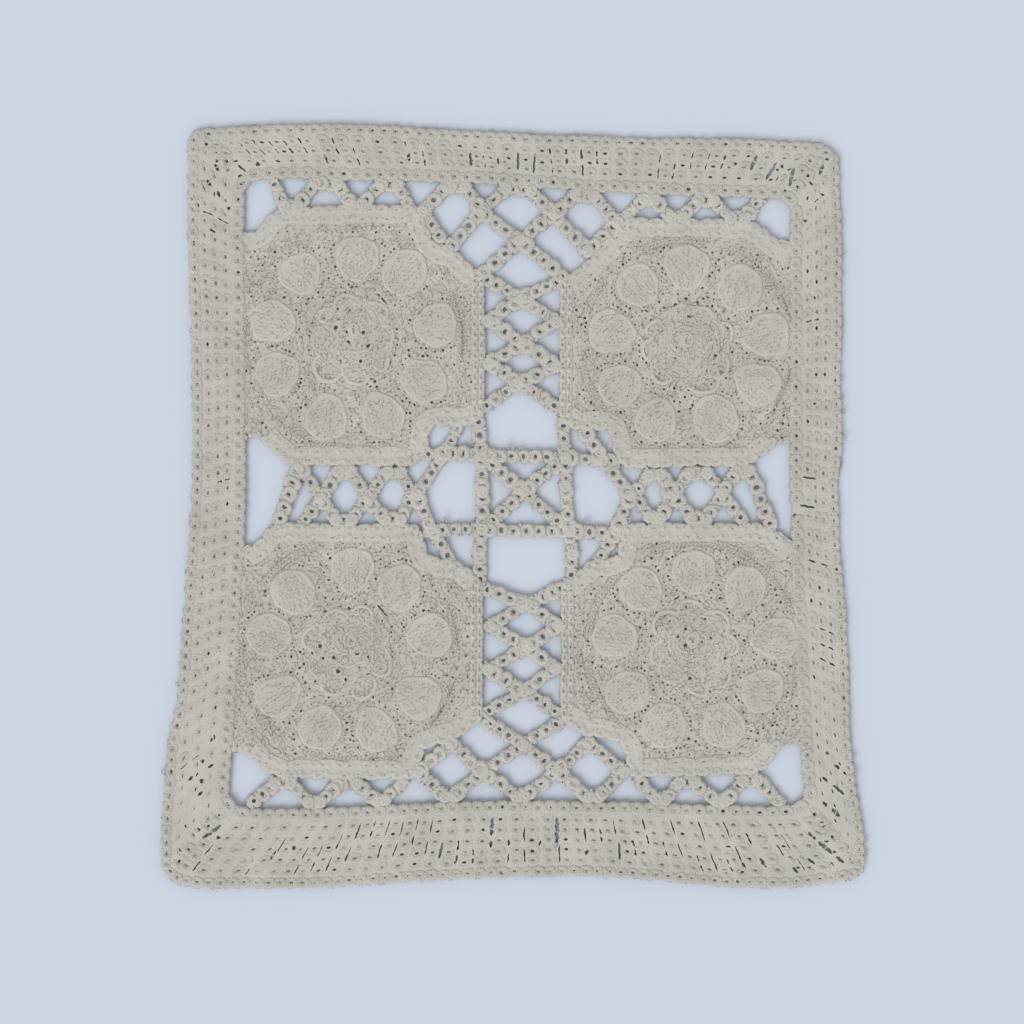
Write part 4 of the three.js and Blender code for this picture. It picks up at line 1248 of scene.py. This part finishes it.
    def dress_net(self):
        """Small uneven loops round some eyelets, and short stitches over the rest."""
        yarn = Yarn(self.gaps)
        box = self.outline.min(axis=0), self.outline.max(axis=0)
        self.eyelets = self.place_eyelets(box)
        looped = self.eyelets[RNG.random(len(self.eyelets)) < 0.35]
        count, around = len(looped), turns(8)
        reach = NET["loop"] * RNG.uniform(0.85, 1.3, (2, count, 1))
        plan = looped[:, None] + np.moveaxis(reach, 0, -1) * circle(around)
        high = HEIGHT["loop"] + 0.06 * np.cos(around + RNG.uniform(0, 6, (count, 1)))
        high = high + 0.04 * noise(count, 1)
        radius = NET["radius"] * RNG.uniform(0.85, 1.15, (count, 1))
        yarn.tubes(plan, high, radius, closed=True, sides=4)
        # rounds of slanting stitches outside the ovals, in some places
        taken = self.eyelets
        for far, slant in TRIM:
            around = np.arange(0, 2 * math.pi, 0.78 / (self.radius + far))
            spots = self.ring + (self.radius + far) * circle(around)
            use = self.open_ground(spots) & (swell(spots, 1, 16.0) > 0.05)
            taken = np.vstack([taken, spots[use]])
            flow = around[use] + math.pi / 2 + slant
            short_stitches(yarn, spots[use], flow, HEIGHT["trim"])
        spots = scatter(*box, SHORT["along"], SHORT["across"], 0.2)
        spots = spots[self.open_ground(spots)]
        away = np.linalg.norm(spots[:, None] - taken, axis=2).min(axis=1)
        spots = spots[away > NET["clear"]]
        flow = np.arctan2(*(spots - self.ring).T[::-1]) + math.pi / 2 + 1.2 * swell(spots, 2, 9.0)
        flow = flow + 0.5 * noise(len(spots))
        short_stitches(yarn, spots, flow, HEIGHT["net"] + 0.05 * noise(len(spots), 1))
        self.piece(yarn, "net", net_cotton)

    def add_cloth(self):
        """The cloth beneath, with the net's open loops and the gaps."""
        torn = gap_outlines(self.gaps)
        meshes = []
        for spot in self.eyelets:
            size = RNG.uniform(0.16, 0.34) * RNG.uniform(0.7, 1.3, 5)
            meshes.append(spot + size[:, None] * circle(turns(5)))
        ground.add([self.edge(-0.35, 0.5)], [*torn, *clear_of(meshes, torn, CLEAR["net"])],
                   CLOTH["net_low"], CLOTH["net"], self.gaps)
        seat = self.ring + (ROSE["ring"] + ROSE["bed"]) * circle(turns(24))
        pierced = [hole for hole in torn if inside(hole.mean(axis=0), seat)]
        pierced.insert(0, self.eye + ROSE["hole"] * circle(turns(6)))
        self.beds.append(([seat], "bed", pierced))
        for fills, level, eyes in self.beds:
            ground.add(fills, eyes, CLOTH["bed_low"], CLOTH[level], self.gaps, doubled=True)


for name, sizes in MEDALLIONS.items():
    medallion = Medallion(name, sizes)
    medallion.dress_rim()
    medallion.dress_ovals()
    medallion.dress_rose()
    medallion.dress_net()
    medallion.add_cloth()

patch_cloth = ground.mesh("patch_cloth", ground_cotton, "band_thread")
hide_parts("border_band", *MEDALLIONS, *BARS)

# ---- stage, light and camera

FLOOR_REACH = 6.0  # metres from the middle
floor_mesh = bpy.data.meshes.new("floor")
floor_mesh.from_pydata([(x * FLOOR_REACH, y * FLOOR_REACH, 0)
                        for x, y in ((-1, -1), (1, -1), (1, 1), (-1, 1))], [], [(0, 1, 2, 3)])
floor = placed("floor", floor_mesh)
paper = bpy.data.materials.new("pale_floor")
paper.use_nodes = True
paper_shader = paper.node_tree.nodes["Principled BSDF"]
paper_shader.inputs["Base Color"].default_value = (0.62, 0.68, 0.78, 1)
paper_shader.inputs["Roughness"].default_value = 0.95
paper_shader.inputs["Specular IOR Level"].default_value = 0.1
floor_mesh.materials.append(paper)

world = bpy.data.worlds.new("studio")
world.use_nodes = True
sky = world.node_tree.nodes["Background"]
sky.inputs["Color"].default_value = (1.0, 1.0, 1.0, 1)
sky.inputs["Strength"].default_value = 0.66
bpy.context.scene.world = world

sun_data = bpy.data.lights.new("key", "SUN")
sun_data.energy = 1.3
sun_data.angle = math.radians(40)
sun = placed("key", sun_data)
sun.rotation_euler = (math.radians(32), math.radians(-24), 0)

VIEW_WIDE = 0.2048  # metres across the view
camera_data = bpy.data.cameras.new("camera")
camera_data.lens = 85
camera_data.sensor_width = 36
camera_data.clip_start = 0.01
camera_data.clip_end = 50
camera = placed("camera", camera_data)
camera.location = (-0.0002, -0.0012, VIEW_WIDE * camera_data.lens / camera_data.sensor_width)
bpy.context.scene.camera = camera
bpy.context.scene.view_settings.view_transform = "Standard"
